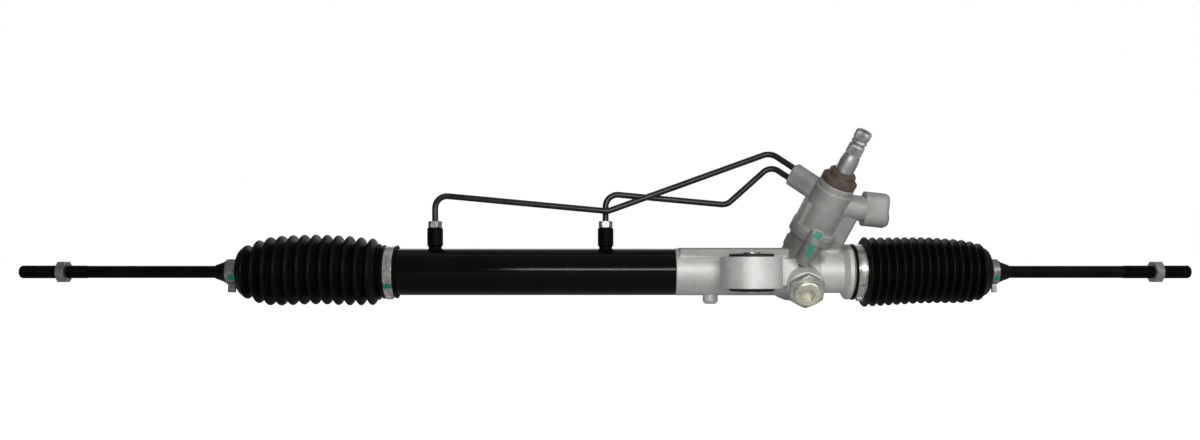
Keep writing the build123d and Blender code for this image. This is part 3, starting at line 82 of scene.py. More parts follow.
# ---------------------------------------------------------------- camera
# In metres. It looks straight along Y at the rack's front; a photo pixel covers about 1.085 mm at the axis.
CAMERA_DISTANCE = 1.15
CAMERA_X = 0.0864
CAMERA_Z = 0.0148
SENSOR_WIDTH = 36.0
FOCAL_LENGTH = 31.79
# the photo's frame reaches farther up than down from the camera's level
FRAME_SHIFT = 0.0319


def make_camera():
    data = bpy.data.cameras.new("view")
    data.sensor_width = SENSOR_WIDTH
    data.lens = FOCAL_LENGTH
    data.shift_y = FRAME_SHIFT
    data.clip_start = 0.01
    data.clip_end = 50.0
    camera = bpy.data.objects.new("view", data)
    bpy.context.scene.collection.objects.link(camera)
    camera.location = (CAMERA_X, -CAMERA_DISTANCE, CAMERA_Z)
    camera.rotation_euler = (math.radians(90), 0, 0)
    bpy.context.scene.camera = camera


make_camera()


# ---------------------------------------------------------------- frames taken from the CAD's numbers
SHAFT_ANGLE = math.radians(70.0)
PINION_ROLL = math.radians(29.5)
PINION_X = 300.0
PINION_HELIX = math.radians(15)
PINION_TEETH = 7
NORMAL_MODULE = 2
TOOTH_LAND_HEIGHT = 8
RACK_ADDENDUM = 1.84
PROFILE_SHIFT = 1.1
PITCH_RADIUS = PINION_TEETH * NORMAL_MODULE / (2 * math.cos(PINION_HELIX))
CENTRE_DISTANCE = TOOTH_LAND_HEIGHT - RACK_ADDENDUM + PITCH_RADIUS + PROFILE_SHIFT
LEFT_BALL = -263.0
RIGHT_BALL = 447.0

roll_up = Vector((0, -math.sin(PINION_ROLL), math.cos(PINION_ROLL)))
guide_out = Vector((0, -math.cos(PINION_ROLL), -math.sin(PINION_ROLL)))
pinion_up = Vector((1, 0, 0)) * math.cos(SHAFT_ANGLE) + roll_up * math.sin(SHAFT_ANGLE)
crossing = Vector((PINION_X, 0, 0)) - guide_out * CENTRE_DISTANCE
across = pinion_up.cross(guide_out)


def axis_frame(origin, along):
    """Matrix whose X axis runs along a direction from a point in millimetres."""
    x = Vector(along).normalized()
    nearly_upright = abs(x.z) >= 0.9
    helper = Vector((0, 1, 0)) if nearly_upright else Vector((0, 0, 1))
    y = helper.cross(x).normalized()
    z = x.cross(y)
    matrix = Matrix((x, y, z)).transposed().to_4x4()
    matrix.translation = Vector(origin)
    return matrix


pinion_axis = axis_frame(crossing, pinion_up)
left_rod_axis = axis_frame((LEFT_BALL, 0, 0), (-1, 0, 0))
right_rod_axis = axis_frame((RIGHT_BALL, 0, 0), (1, 0, 0))


# ---------------------------------------------------------------- node materials
# the colour sockets of ShaderNodeMix, which share their names with its other forms
MIX_FACTOR = 0
MIX_A = 6
MIX_B = 7
MIX_RESULT = 2


def new_material(name):
    material = bpy.data.materials.new(name)
    material.use_nodes = True
    tree = material.node_tree
    tree.nodes.clear()
    out = tree.nodes.new("ShaderNodeOutputMaterial")
    return material, tree, out


def noise_node(tree, coords, scale, detail=4.0, rough=0.55, stretch=None):
    """Noise over the object's own coordinates; stretch draws it out along an axis."""
    source = coords
    if stretch:
        mapping = tree.nodes.new("ShaderNodeMapping")
        mapping.inputs["Scale"].default_value = stretch
        tree.links.new(coords, mapping.inputs["Vector"])
        source = mapping.outputs[0]
    node = tree.nodes.new("ShaderNodeTexNoise")
    node.inputs["Scale"].default_value = scale
    node.inputs["Detail"].default_value = detail
    node.inputs["Roughness"].default_value = rough
    tree.links.new(source, node.inputs["Vector"])
    return node.outputs[0]


def ramp(tree, value, low, high, out_low=0.0, out_high=1.0):
    """Straight ramp from one range to another, level outside it."""
    node = tree.nodes.new("ShaderNodeMapRange")
    node.inputs["From Min"].default_value = low
    node.inputs["From Max"].default_value = high
    node.inputs["To Min"].default_value = out_low
    node.inputs["To Max"].default_value = out_high
    tree.links.new(value, node.inputs["Value"])
    return node.outputs[0]


def mixed(tree, factor, a, b, blend="MIX"):
    """Mix of two colours; each is a colour or a socket."""
    node = tree.nodes.new("ShaderNodeMix")
    node.data_type = "RGBA"
    node.blend_type = blend
    tree.links.new(factor, node.inputs[MIX_FACTOR])
    for socket, value in ((node.inputs[MIX_A], a), (node.inputs[MIX_B], b)):
        if isinstance(value, tuple):
            socket.default_value = (*value, 1.0)
        else:
            tree.links.new(value, socket)
    return node.outputs[MIX_RESULT]


def maths(tree, operation, a, b):
    """Sum, product or the like of two values; each is a number or a socket."""
    node = tree.nodes.new("ShaderNodeMath")
    node.operation = operation
    for socket, value in ((node.inputs[0], a), (node.inputs[1], b)):
        if isinstance(value, (int, float)):
            socket.default_value = value
        else:
            tree.links.new(value, socket)
    return node.outputs[0]


def vector_maths(tree, operation, socket, values=None):
    """Vector node of a socket and, where given, a fixed vector."""
    node = tree.nodes.new("ShaderNodeVectorMath")
    node.operation = operation
    tree.links.new(socket, node.inputs[0])
    if values:
        node.inputs[1].default_value = values
    return node


def bumped(tree, height, depth, normal=None):
    """Normal pushed about by a height socket; depth in millimetres."""
    node = tree.nodes.new("ShaderNodeBump")
    node.inputs["Strength"].default_value = 1.0
    node.inputs["Distance"].default_value = depth * MM
    tree.links.new(height, node.inputs["Height"])
    if normal is not None:
        tree.links.new(normal, node.inputs["Normal"])
    return node.outputs[0]


def blob_mask(tree, coords, blobs, ragged, edges):
    """Mask of ellipsoids given as (centre in mm, radii in mm); ragged is how far noise eats into them."""
    total = None
    wobble = maths(tree, "MULTIPLY", noise_node(tree, coords, 520.0, 5.0, 0.7), ragged)
    for centre, radii in blobs:
        from_centre = vector_maths(tree, "SUBTRACT", coords, tuple(c * MM for c in centre))
        in_radii = vector_maths(tree, "DIVIDE", from_centre.outputs[0], tuple(r * MM for r in radii))
        distance = vector_maths(tree, "LENGTH", in_radii.outputs[0]).outputs["Value"]
        mask = ramp(tree, maths(tree, "ADD", distance, wobble), *edges)
        total = mask if total is None else maths(tree, "MAXIMUM", total, mask)
    return total


def painted_shade_share(tree, coords, bottom, top, patches):
    """Painted shade on a casting: colour darkened from a height upwards, and in patches."""
    split = tree.nodes.new("ShaderNodeSeparateXYZ")
    tree.links.new(coords, split.inputs[0])
    shade_above = ramp(tree, split.outputs["Z"], bottom * MM, top * MM)
    return maths(tree, "MAXIMUM", shade_above, blob_mask(tree, coords, patches, 0.0, SHADE_PATCH_EDGES))


# the part of a noise's range that turns into colour, roughness, dust and worn edges
COLOUR_BAND = (0.32, 0.68)
ROUGHNESS_BAND = (0.3, 0.7)
GRAIN_BAND = (0.4, 0.6)
DUST_BAND = (0.50, 0.80)
DUST_MOST = 0.55
SHARP_EDGE = (0.52, 0.62)
DUST_SCALE = 18.0
LUMP_SCALE = 130.0
# ragged dabs of inspection paint, and the softer edges of the patches of painted shade
PAINT_RAGGED = 2.6
PAINT_EDGES = (2.30, 2.00)
PAINT_ROUGHER = 0.15
PAINT_GREEN = (0.03, 0.30, 0.21)
SHADE_PATCH_EDGES = (1.15, 0.85)
BEVEL_SAMPLES = 6


def surface(name, dark, light, rough, metallic=0.0, mottle=45.0, grain=900.0, grain_depth=0.05,
            bevel=0.0, specular=0.5, stretch=None, wear=None, dust=None, dabs=(),
            dab_colour=PAINT_GREEN, lumps=0.0, painted_shade=None):
    """Procedural finish: mottled colour and roughness, a fine grain, softened edges, paint dabs, painted
    shade.

    grain_depth, bevel and lumps are in millimetres. The painted shade is given as (bottom mm, top mm, tint,
    patches).
    """
    material, tree, out = new_material(name)
    shader = tree.nodes.new("ShaderNodeBsdfPrincipled")
    tree.links.new(shader.outputs[0], out.inputs[0])
    coords = tree.nodes.new("ShaderNodeTexCoord").outputs["Object"]
    patch = noise_node(tree, coords, mottle, 5.0, 0.6, stretch)
    fine = noise_node(tree, coords, grain, 3.0, 0.6, stretch)
    colour = mixed(tree, ramp(tree, patch, *COLOUR_BAND), dark, light)
    rough_value = ramp(tree, patch, *ROUGHNESS_BAND, *rough)
    if wear:
        # brighter worn metal along outer edges
        geometry = tree.nodes.new("ShaderNodeNewGeometry")
        edge = ramp(tree, geometry.outputs["Pointiness"], *SHARP_EDGE)
        edge = maths(tree, "MULTIPLY", edge, ramp(tree, fine, *GRAIN_BAND))
        colour = mixed(tree, edge, colour, wear)
    if dust:
        film = noise_node(tree, coords, DUST_SCALE, 6.0, 0.65)
        colour = mixed(tree, ramp(tree, film, *DUST_BAND, 0.0, DUST_MOST), colour, dust)
    # painted shade: the colour is multiplied darker above a height and in patches, standing in for the
    # shade on the casting's upper faces
    if painted_shade:
        bottom, top, shade_tint, patches = painted_shade
        share = painted_shade_share(tree, coords, bottom, top, patches)
        colour = mixed(tree, share, colour, shade_tint, "MULTIPLY")
    if dabs:
        mask = blob_mask(tree, coords, dabs, PAINT_RAGGED, PAINT_EDGES)
        colour = mixed(tree, mask, colour, dab_colour)
        rough_value = maths(tree, "ADD", rough_value, maths(tree, "MULTIPLY", mask, PAINT_ROUGHER))
    tree.links.new(colour, shader.inputs["Base Color"])
    tree.links.new(rough_value, shader.inputs["Roughness"])
    shader.inputs["Metallic"].default_value = metallic
    shader.inputs["Specular IOR Level"].default_value = specular
    rounded = None
    if bevel > 0:
        bevel_node = tree.nodes.new("ShaderNodeBevel")
        bevel_node.samples = BEVEL_SAMPLES
        bevel_node.inputs["Radius"].default_value = bevel * MM
        rounded = bevel_node.outputs[0]
    normal = bumped(tree, fine, grain_depth, rounded)
    if lumps > 0:
        normal = bumped(tree, noise_node(tree, coords, LUMP_SCALE, 2.0), lumps, normal)
    tree.links.new(normal, shader.inputs["Normal"])
    return material


# place of the near valve bolt's front, from the pinion's axis
BOLT_OUT = 36.5
BOLT_ASIDE = 7.0


def bolt_point(height):
    """Point of the near valve bolt's front, by its height along the pinion axis."""
    return tuple(crossing + pinion_up * height + guide_out * BOLT_OUT - across * BOLT_ASIDE)


# patches of painted shade on the rail's upper face and on the tower under the valve: (centre in mm, radii
# in mm)
RAIL_SHADE_PATCH = ((232, -22, 25.5), (95, 8, 10.6))
TOWER_SHADE_PATCH = ((306, -24, 21), (23, 18, 17))

# painted shade: the housing is multiplied darker above 22.5 mm and in the rail and tower patches, for faces
# turned up and the tower in the valve's shadow
cast = surface(
    "cast_aluminium", (0.50, 0.50, 0.485), (0.63, 0.63, 0.615), (0.44, 0.60),
    metallic=0.35, mottle=60.0, grain=1300.0, grain_depth=0.09, bevel=1.1, lumps=0.10,
    dust=(0.38, 0.375, 0.36), painted_shade=(22.5, 25.5, (0.44, 0.43, 0.415), [RAIL_SHADE_PATCH, TOWER_SHADE_PATCH]),
    dabs=[(bolt_point(42), (3.6, 6, 8)), (bolt_point(34), (3.2, 6, 6))],
)
# painted shade: the valve housing is the same cast aluminium as the gear housing, with its colour set
# darker to stand in for its shade
cast_valve_painted_shade = surface(
    "cast_valve_painted_shade", (0.27, 0.267, 0.258), (0.36, 0.355, 0.343), (0.42, 0.58),
    metallic=0.35, mottle=60.0, grain=1300.0, grain_depth=0.09, bevel=1.1, lumps=0.12,
    dust=(0.20, 0.196, 0.188), dabs=[((334, -17, 86), (4, 8, 3))],
)
cast_bright = surface(
    "cast_aluminium_machined", (0.55, 0.55, 0.54), (0.66, 0.66, 0.65), (0.28, 0.42),
    metallic=0.7, mottle=80.0, grain=1400.0, grain_depth=0.04, bevel=0.6,
)
enamel = surface(
    "black_enamel", (0.0015, 0.0015, 0.0016), (0.0030, 0.0030, 0.0032), (0.10, 0.15),
    mottle=25.0, grain=260.0, grain_depth=0.03, bevel=0.5, specular=0.10,
)
line_coat = surface(
    "line_coating", (0.012, 0.0095, 0.0095), (0.030, 0.024, 0.024), (0.24, 0.38),
    metallic=0.5, mottle=70.0, grain=1500.0, grain_depth=0.02,
)
zinc = surface(
    "zinc_plate", (0.17, 0.173, 0.166), (0.30, 0.304, 0.292), (0.30, 0.46),
    metallic=0.8, mottle=110.0, grain=1600.0, grain_depth=0.03, bevel=0.4, wear=(0.6, 0.6, 0.58),
)
nut_zinc = surface(
    "green_zinc", (0.19, 0.208, 0.197), (0.33, 0.354, 0.33), (0.30, 0.48),
    metallic=0.75, mottle=110.0, grain=1600.0, grain_depth=0.03, bevel=0.5, wear=(0.8, 0.8, 0.76),
    dabs=[((300, -60, -8), (3, 5, 4))], dab_colour=(0.10, 0.36, 0.28),
)
yellow_zinc = surface(
    "yellow_zinc", (0.50, 0.50, 0.40), (0.74, 0.73, 0.62), (0.24, 0.40),
    metallic=0.75, mottle=150.0, grain=1500.0, grain_depth=0.03, bevel=0.5,
)
bolt_zinc = surface(
    "bolt_zinc", (0.46, 0.47, 0.44), (0.68, 0.68, 0.65), (0.28, 0.44),
    metallic=0.6, mottle=150.0, grain=1500.0, grain_depth=0.03, bevel=0.5,
    dabs=[(bolt_point(57), (6.5, 6, 6.5))], dab_colour=(0.10, 0.42, 0.33),
)
steel = surface(
    "ground_steel", (0.46, 0.46, 0.46), (0.62, 0.62, 0.62), (0.16, 0.30),
    metallic=1.0, mottle=60.0, grain=900.0, grain_depth=0.012, bevel=0.3, stretch=(0.06, 1.0, 1.0),
)
shaft_steel = surface(
    "shaft_steel", (0.30, 0.30, 0.30), (0.44, 0.44, 0.435), (0.34, 0.46),
    metallic=0.85, mottle=90.0, grain=1300.0, grain_depth=0.02,
)
jam_zinc = surface(
    "jam_nut_zinc", (0.12, 0.127, 0.12), (0.25, 0.258, 0.243), (0.26, 0.44),
    metallic=0.85, mottle=120.0, grain=1500.0, grain_depth=0.03, bevel=0.5, wear=(0.55, 0.55, 0.53),
)
phosphate = surface(
    "black_phosphate", (0.0022, 0.0019, 0.0019), (0.0055, 0.0048, 0.0047), (0.32, 0.48),
    mottle=90.0, grain=1700.0, grain_depth=0.025, specular=0.05,
)
band_metal = surface(
    "band_steel", (0.34, 0.325, 0.30), (0.66, 0.64, 0.61), (0.18, 0.40),
    metallic=0.95, mottle=130.0, grain=700.0, grain_depth=0.03, bevel=0.25,
    stretch=(1.0, 0.35, 0.35), lumps=0.05,
    dabs=[((-140.5, -26, -15), (9, 9, 3.6)), ((366, -30, -14), (4, 7, 2))],
)
clip_metal = surface(
    "clip_steel", (0.18, 0.187, 0.18), (0.38, 0.388, 0.372), (0.22, 0.42),
    metallic=0.9, mottle=130.0, grain=900.0, grain_depth=0.03, bevel=0.25,
    dabs=[((-309.5, -12.5, -5.5), (6, 6, 4)), ((512.5, -12, -6.5), (4, 6, 3.4))],
)
rubber = surface(
    "boot_rubber", (0.0020, 0.0017, 0.0017), (0.0042, 0.0037, 0.0037), (0.36, 0.52),
    mottle=70.0, grain=1300.0, grain_depth=0.04, specular=0.08, lumps=0.05,
)
bush_rubber = surface(
    "bush_rubber", (0.008, 0.008, 0.008), (0.020, 0.019, 0.019), (0.5, 0.7),
    mottle=120.0, grain=1500.0, grain_depth=0.05, bevel=0.5, specular=0.35,
)
cover_rubber = surface(
    "cover_rubber", (0.050, 0.032, 0.026), (0.105, 0.078, 0.062), (0.42, 0.62),
    mottle=160.0, grain=1400.0, grain_depth=0.06, bevel=0.6, specular=0.4, lumps=0.1,
)
plastic = surface(
    "bearing_plastic", (0.62, 0.60, 0.52), (0.78, 0.76, 0.68), (0.40, 0.52),
    mottle=90.0, grain=1200.0, grain_depth=0.02, bevel=0.3,
)
seal_rubber = surface(
    "seal_rubber", (0.012, 0.012, 0.013), (0.028, 0.027, 0.027), (0.40, 0.55),
    mottle=150.0, grain=1500.0, grain_depth=0.03, bevel=0.3,
)

# every node that isn't named here is ground steel
FINISHES = {
    "gear_housing": cast, "valve_housing": cast_valve_painted_shade, "rack_guide": cast_bright,
    "right_seal_holder": cast_bright, "cylinder_end_gland": cast_bright,
    "cylinder_tube": enamel, "port_bosses": enamel,
    "long_transfer_line": line_coat, "short_transfer_line": line_coat,
    "cylinder_line_nuts": zinc, "valve_line_nuts": zinc, "valve_bolts": bolt_zinc,
    "left_jam_nut": jam_zinc, "right_jam_nut": jam_zinc,
    "guide_lock_nut": nut_zinc, "guide_plug": yellow_zinc,
    "left_socket": phosphate, "right_socket": phosphate,
    "left_tie_rod": phosphate, "right_tie_rod": phosphate,
    "left_boot_band": band_metal, "right_boot_band": band_metal,
    "left_boot_clip": clip_metal, "right_boot_clip": clip_metal,
    "left_boot": rubber, "right_boot": rubber,
    "mount_bush_rubber": bush_rubber, "dust_cover": cover_rubber,
    "hose_port_seals": seal_rubber, "left_rod_seal": seal_rubber, "right_rod_seal": seal_rubber,
    "pinion_seal": seal_rubber, "input_seal": seal_rubber,
    "left_ball_seat": plastic, "right_ball_seat": plastic, "guide_liner": plastic,
    "piston_ring": plastic, "sleeve_rings": plastic, "rack_bush": plastic,
}


def finish_nodes():
    """Give every CAD node its finish, in all its material slots."""
    for name, node in NODES.items():
        finish = FINISHES.get(name, steel)
        meshes = [node] if node.type == "MESH" else [c for c in node.children_recursive if c.type == "MESH"]
        for piece in meshes:
            if not piece.material_slots:
                piece.data.materials.append(finish)
            for material_slot in piece.material_slots:
                material_slot.material = finish


finish_nodes()


# ---------------------------------------------------------------- mesh makers
# a station nearer the axis than this, in mm, is a single point
POLE_RADIUS = 1e-6


def mesh_object(name, verts, faces, finish, smooth=True):
    data = bpy.data.meshes.new(name)
    data.from_pydata([tuple(v) for v in verts], [], faces)
    data.validate()
    data.materials.append(finish)
    for polygon in data.polygons:
        polygon.use_smooth = smooth
    obj = bpy.data.objects.new(name, data)
    bpy.context.scene.collection.objects.link(obj)
    return obj


def mark_sharp(obj, degrees):
    """Smooth shading that breaks at edges sharper than an angle."""
    limit = math.radians(degrees)
    data = obj.data
    normals = {}
    for polygon in data.polygons:
        for key in polygon.edge_keys:
            normals.setdefault(key, []).append(polygon.normal.copy())
    index = {edge.key: edge for edge in data.edges}
    for key, found in normals.items():
        if len(found) == 2 and found[0].length > 0 and found[1].length > 0:
            if found[0].angle(found[1], 0.0) > limit:
                index[key].use_edge_sharp = True


def lathe(name, stations, finish, place, segments, radius, sharp, closed=False):
    """Turned mesh. Stations are (x, r) in mm along the frame's X axis; radius(x, r, angle) varies r."""
    verts = []
    faces = []
    rings = []
    for x, r in stations:
        if r < POLE_RADIUS:
            rings.append([len(verts)])
            verts.append(place @ Vector((x, 0, 0)) * MM)
            continue
        row = []
        for k in range(segments):
            angle = 2 * math.pi * k / segments
            here = radius(x, r, angle)
            row.append(len(verts))
            verts.append(place @ Vector((x, here * math.cos(angle), here * math.sin(angle))) * MM)
        rings.append(row)
    pairs = list(zip(rings, rings[1:]))
    if closed:
        pairs.append((rings[-1], rings[0]))
    for low, high in pairs:
        for k in range(segments):
            n = (k + 1) % segments
            if len(low) == 1:
                faces.append((low[0], high[k], high[n]))
            elif len(high) == 1:
                faces.append((low[k], high[0], low[n]))
            else:
                faces.append((low[k], high[k], high[n], low[n]))
    obj = mesh_object(name, verts, faces, finish)
    mark_sharp(obj, sharp)
    return obj


# ---------------------------------------------------------------- boots
# Lengths along a boot run from its seat outwards, and radii from the rack's axis, in mm.
# side is -1 or 1 for the left or right; seat, neck, ball and first are X of the seat, the neck, the
# tie rod's ball and the first fold; ods are the outer diameters that the folds taper between; depth is
# the folds'; clip is the clip's width; arch lifts the middle; waist narrows the folds by the collar,
# and end_drop those by the shoulder.
Boot = namedtuple("Boot", "label side seat seat_radius neck ball crests pitch first ods depth "
                          "clip arch waist end_drop")
LEFT_BOOT = Boot(
    label="left", side=-1, seat=-132.5, seat_radius=25.6, neck=-304.5, ball=LEFT_BALL, crests=12,
    pitch=12.3, first=-160.0, ods=(76.0, 76.5), depth=6.4, clip=11.0, arch=2.6, waist=1.6, end_drop=9.0,
)
RIGHT_BOOT = Boot(
    label="right", side=1, seat=358.4, seat_radius=27.3, neck=507.5, ball=RIGHT_BALL, crests=15,
    pitch=8.76, first=372.9, ods=(75.8, 68.8), depth=5.6, clip=7.0, arch=1.7, waist=0.0, end_drop=3.4,
)
BOOT_WALL = 1.7
BOOT_BORE = 6.95
BOOT_SEGMENTS = 112
BAND_START = 2.2
BAND_END = 12.4
COLLAR_END = 14.0
NECK_MARGIN = 6.0
NECK_RADIUS = 12.5
FOLD_STEPS = 14
FOLD_ROUNDNESS = 0.78
SHOULDER_STEPS = 8
SHOULDER_ROUNDNESS = 0.9
# how uneven the folds' radii are, how many the waist takes in, and how many shrink by the shoulder
UNEVENNESS = 0.22
WAIST_FOLDS = 2.5
END_FOLDS = 3
# slow waves of moulded rubber: their depth, their rate along the boot, and where they fade in
SAG_DEPTH = 0.35
SAG_RATE = 0.03
SAG_FADE = 12.0
# length of boot past the ball, near which the middle piece is cut off
BEND_LENGTH = 24.0


def crest_radius(boot, i):
    """Radius of fold i, counted from the collar."""
    share = i / (boot.crests - 1)
    radius = (boot.ods[0] * (1 - share) + boot.ods[1] * share) / 2
    radius += UNEVENNESS * noise.noise(Vector((i * 1.7, boot.side * 3.0, 0.0)))
    radius -= boot.waist * max(0.0, (WAIST_FOLDS - i) / WAIST_FOLDS)
    return radius - boot.end_drop * max(0.0, (i - boot.crests + END_FOLDS + 1) / END_FOLDS) ** 2


def collar_profile(boot, first_at, has_cone):
    """Collar over the seat, with the band's groove and the lip beyond it."""
    rim = boot.seat_radius + BOOT_WALL + 1.5
    profile = [(0.0, boot.seat_radius + 0.2), (0.0, rim - 0.6), (0.5, rim), (BAND_START - 0.8, rim),
               (BAND_START - 0.1, rim - 1.5), (BAND_END + 0.1, rim - 1.5)]
    if has_cone:
        # the second lip is followed by a cone up to the first fold
        return profile + [(BAND_END + 0.5, rim - 0.7), (BAND_END + 1.6, rim + 0.4),
                          (BAND_END + 3.2, rim + 0.2), (BAND_END + 4.6, rim - 1.6),
                          (BAND_END + 6.4, rim - 1.8),
                          (first_at - boot.pitch * 0.62, boot.ods[0] / 2 - boot.depth - 1.0)]
    return profile + [(BAND_END + 0.3, rim - 0.6), (BAND_END + 0.5, rim + 1.0)]


def fold_profile(boot, first_at, has_cone):
    """The folds, each from valley to valley; without a cone the first starts part of the way up."""
    profile = []
    for i in range(boot.crests):
        last = i == boot.crests - 1
        top = crest_radius(boot, i)
        before = crest_radius(boot, i - 1) if i else top
        after = top if last else crest_radius(boot, i + 1)
        start = 0 if (i or has_cone) else FOLD_STEPS // 2 - 3
        for k in range(start, FOLD_STEPS):
            u = k / FOLD_STEPS - 0.5
            share = (0.5 + 0.5 * math.cos(2 * math.pi * u)) ** FOLD_ROUNDNESS
            valley = min(top, before if u < 0 else after) - boot.depth
            if last and u > 0:
                valley = top - 4.0
            profile.append((first_at + boot.pitch * (i + u), valley + (top - valley) * share))
    return profile


def shoulder_profile(boot, base, length):
    """Rounded shoulder, the neck under the clip, and the tapered lip on the tie rod."""
    top = crest_radius(boot, boot.crests - 1)
    profile = [(base, top - 4.2)]
    for k in range(1, SHOULDER_STEPS + 1):
        turn = k / SHOULDER_STEPS * math.pi / 2
        x = base + (length - base) * math.sin(turn)
        r = NECK_RADIUS + (top - 4.6 - NECK_RADIUS) * math.cos(turn) ** SHOULDER_ROUNDNESS
        profile.append((x, r))
    tail = length + boot.clip + 3.0
    return profile + [(length + 0.6, 12.45), (tail, 12.45), (tail + 0.8, 12.0), (tail + 2.2, 11.0),
                      (tail + 9.0, 8.4), (tail + 11.4, 7.6)]


def bellows(boot):
    """Rubber boot in three pieces that meet at valleys, split at the ball and again beyond it."""
    length = abs(boot.neck - boot.seat)
    first_at = abs(boot.first - boot.seat)
    last_at = first_at + boot.pitch * (boot.crests - 1)
    has_cone = first_at - BAND_END > boot.pitch
    outer = collar_profile(boot, first_at, has_cone)
    outer += fold_profile(boot, first_at, has_cone)
    outer += shoulder_profile(boot, last_at + boot.pitch * 0.5, length)

    def sagging(x, r, angle):
        """Moulded rubber is never quite round: slow, small waves along and around it."""
        along = abs(x - boot.seat)
        if along < COLLAR_END or along > length - NECK_MARGIN:
            return r
        fade = min(1.0, (along - COLLAR_END) / SAG_FADE, (length - NECK_MARGIN - along) / SAG_FADE)
        wave = noise.noise(Vector((along * SAG_RATE, math.cos(angle), math.sin(angle) + boot.side)))
        return r - SAG_DEPTH * fade * (0.5 + 0.5 * wave)

    def point_at(along):
        return ((boot.seat + boot.side * along) * MM, 0, 0)

    ball_at = abs(boot.ball - boot.seat)
    valleys = [first_at + boot.pitch * (i + 0.5) for i in range(boot.crests - 1)]
    near_cut = min(valleys, key=lambda v: abs(v - ball_at))
    far_cut = min(valleys, key=lambda v: abs(v - (ball_at + BEND_LENGTH)))
    near_point = point_at(near_cut)
    far_point = point_at(far_cut)
    neck_point = ((boot.neck - boot.side * 1.0) * MM, 0, 0)
    seat_body = f"{boot.label}_seat"
    rod_body = f"{boot.label}_tie_rod"
    spans = (
        (-1.0, near_cut, "housing", "rack", point_at(COLLAR_END), near_point),
        (near_cut, far_cut, "rack", seat_body, near_point, far_point),
        (far_cut, 1e9, seat_body, rod_body, far_point, neck_point),
    )
    for index, (low, high, from_body, to_body, start, end) in enumerate(spans):
        rows = [(x, r) for x, r in outer if low - 1e-6 <= x <= high + 1e-6]
        inner = [(x, max(BOOT_BORE, r - BOOT_WALL)) for x, r in rows]
        stations = [(boot.seat + boot.side * x, r) for x, r in rows + inner[::-1]]
        piece = lathe(f"{boot.label}_bellows_{index}", stations, rubber, Matrix.Identity(4),
                      BOOT_SEGMENTS, sagging, 50, closed=True)
        for vertex in piece.data.vertices:
            along = abs(vertex.co.x / MM - boot.seat) - COLLAR_END
            share = along / (length - (COLLAR_END + NECK_MARGIN))
            vertex.co.z += boot.arch * MM * math.sin(math.pi * min(max(share, 0.0), 1.0)) ** 2
        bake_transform(piece)
        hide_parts(f"{boot.label}_boot")


bellows(LEFT_BOOT)
bellows(RIGHT_BOOT)


# ---------------------------------------------------------------- tie rods with their threads
ROD_RADIUS = 6.6
ROD_REACH = 279.0
ROD_SEGMENTS = 48
BALL_RADIUS = 12.5
BALL_STEPS = 24
# share of the half turn that the ball's profile takes before the neck cuts it off
BALL_SHARE = 0.86
GROOVE_RADIUS = 6.0
THREAD_START = 205.0
THREAD_RADIUS = 7.0
THREAD_PITCH = 1.5
THREAD_DEPTH = 0.85
THREAD_STEPS = 8
THREAD_RUN_IN = 3.0
TIP_ROUNDING = 3.0


def thread_wave(x, angle):
    """Height of a rounded V thread, 0 at the root and 1 at the crest."""
    turn = (x / THREAD_PITCH + angle / (2 * math.pi)) % 1.0
    return min(1.0, max(0.0, 1.25 * (1 - abs(2 * turn - 1)) - 0.12))


def thread_radius(x, r, angle):
    """Radius along the rod: the thread runs in from the shank and its tip is rounded."""
    if x < THREAD_START:
        return r
    crest = THREAD_RADIUS - THREAD_DEPTH * (1 - thread_wave(x, angle))
    run_in = min(1.0, (x - THREAD_START) / THREAD_RUN_IN)
    value = ROD_RADIUS * (1 - run_in) + crest * run_in
    to_tip = ROD_REACH - x
    if to_tip < TIP_ROUNDING:
        fall = math.sqrt(max(0.0, 1 - ((TIP_ROUNDING - to_tip) / TIP_ROUNDING) ** 2))
        value = min(value, THREAD_RADIUS - TIP_ROUNDING + TIP_ROUNDING * fall)
    return value


def tie_rod(label, place, boot_at, half):
    """Ball, waisted neck, shank with the boot's groove, and the threaded end.

    boot_at is the middle of the groove and half is half its width, in mm from the ball.
    """
    stations = []
    for k in range(BALL_STEPS + 1):
        a = math.pi * (1 - k / BALL_STEPS * BALL_SHARE)
        stations.append((BALL_RADIUS * math.cos(a), BALL_RADIUS * math.sin(a)))
    stations += [(12.9, 5.5), (17.0, 5.5), (18.6, 5.7), (23.0, 6.5), (24.5, ROD_RADIUS),
                 (boot_at - half - 0.1, ROD_RADIUS), (boot_at - half, GROOVE_RADIUS),
                 (boot_at + half, GROOVE_RADIUS), (boot_at + half + 0.1, ROD_RADIUS),
                 (THREAD_START - 1.0, ROD_RADIUS)]
    x = THREAD_START
    while x < ROD_REACH - 0.01:
        stations.append((x, THREAD_RADIUS))
        x += THREAD_PITCH / THREAD_STEPS
    stations += [(ROD_REACH - 0.9, THREAD_RADIUS), (ROD_REACH, 4.2), (ROD_REACH, 0.0)]
    stations.sort(key=lambda station: station[0])
    obj = lathe(f"{label}_tie_rod_threaded", stations, phosphate, place, ROD_SEGMENTS,
                thread_radius, 48)
    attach(obj, f"{label}_tie_rod")
    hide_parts(f"{label}_tie_rod")


tie_rod("left", left_rod_axis, 49.5, 6.5)
tie_rod("right", right_rod_axis, 66.5, 4.5)


# ---------------------------------------------------------------- input shaft with its serrations
# lengths run along the pinion's axis from where it passes the rack's axis, in mm
SERRATION_START = 142.0
SHAFT_TIP = 168.0
SHAFT_BORE = 2.7
SERRATION_RADIUS = 8.5
SERRATION_DEPTH = 0.45
SERRATION_TEETH = 36
SHAFT_SEGMENTS = 216
# the clamp bolt's groove, which the serrations leave plain
GROOVE_START = 152.9
GROOVE_END = 158.1


def serrated_radius(x, r, angle):
    """Radius along the shaft, with the serrations cut between their start and the tip."""
    if not SERRATION_START < x < SHAFT_TIP - 0.1 or GROOVE_START <= x <= GROOVE_END:
        return r
    wave = 0.5 + 0.5 * math.cos(angle * SERRATION_TEETH)
    return r - SERRATION_DEPTH * (1 - wave ** 0.8)


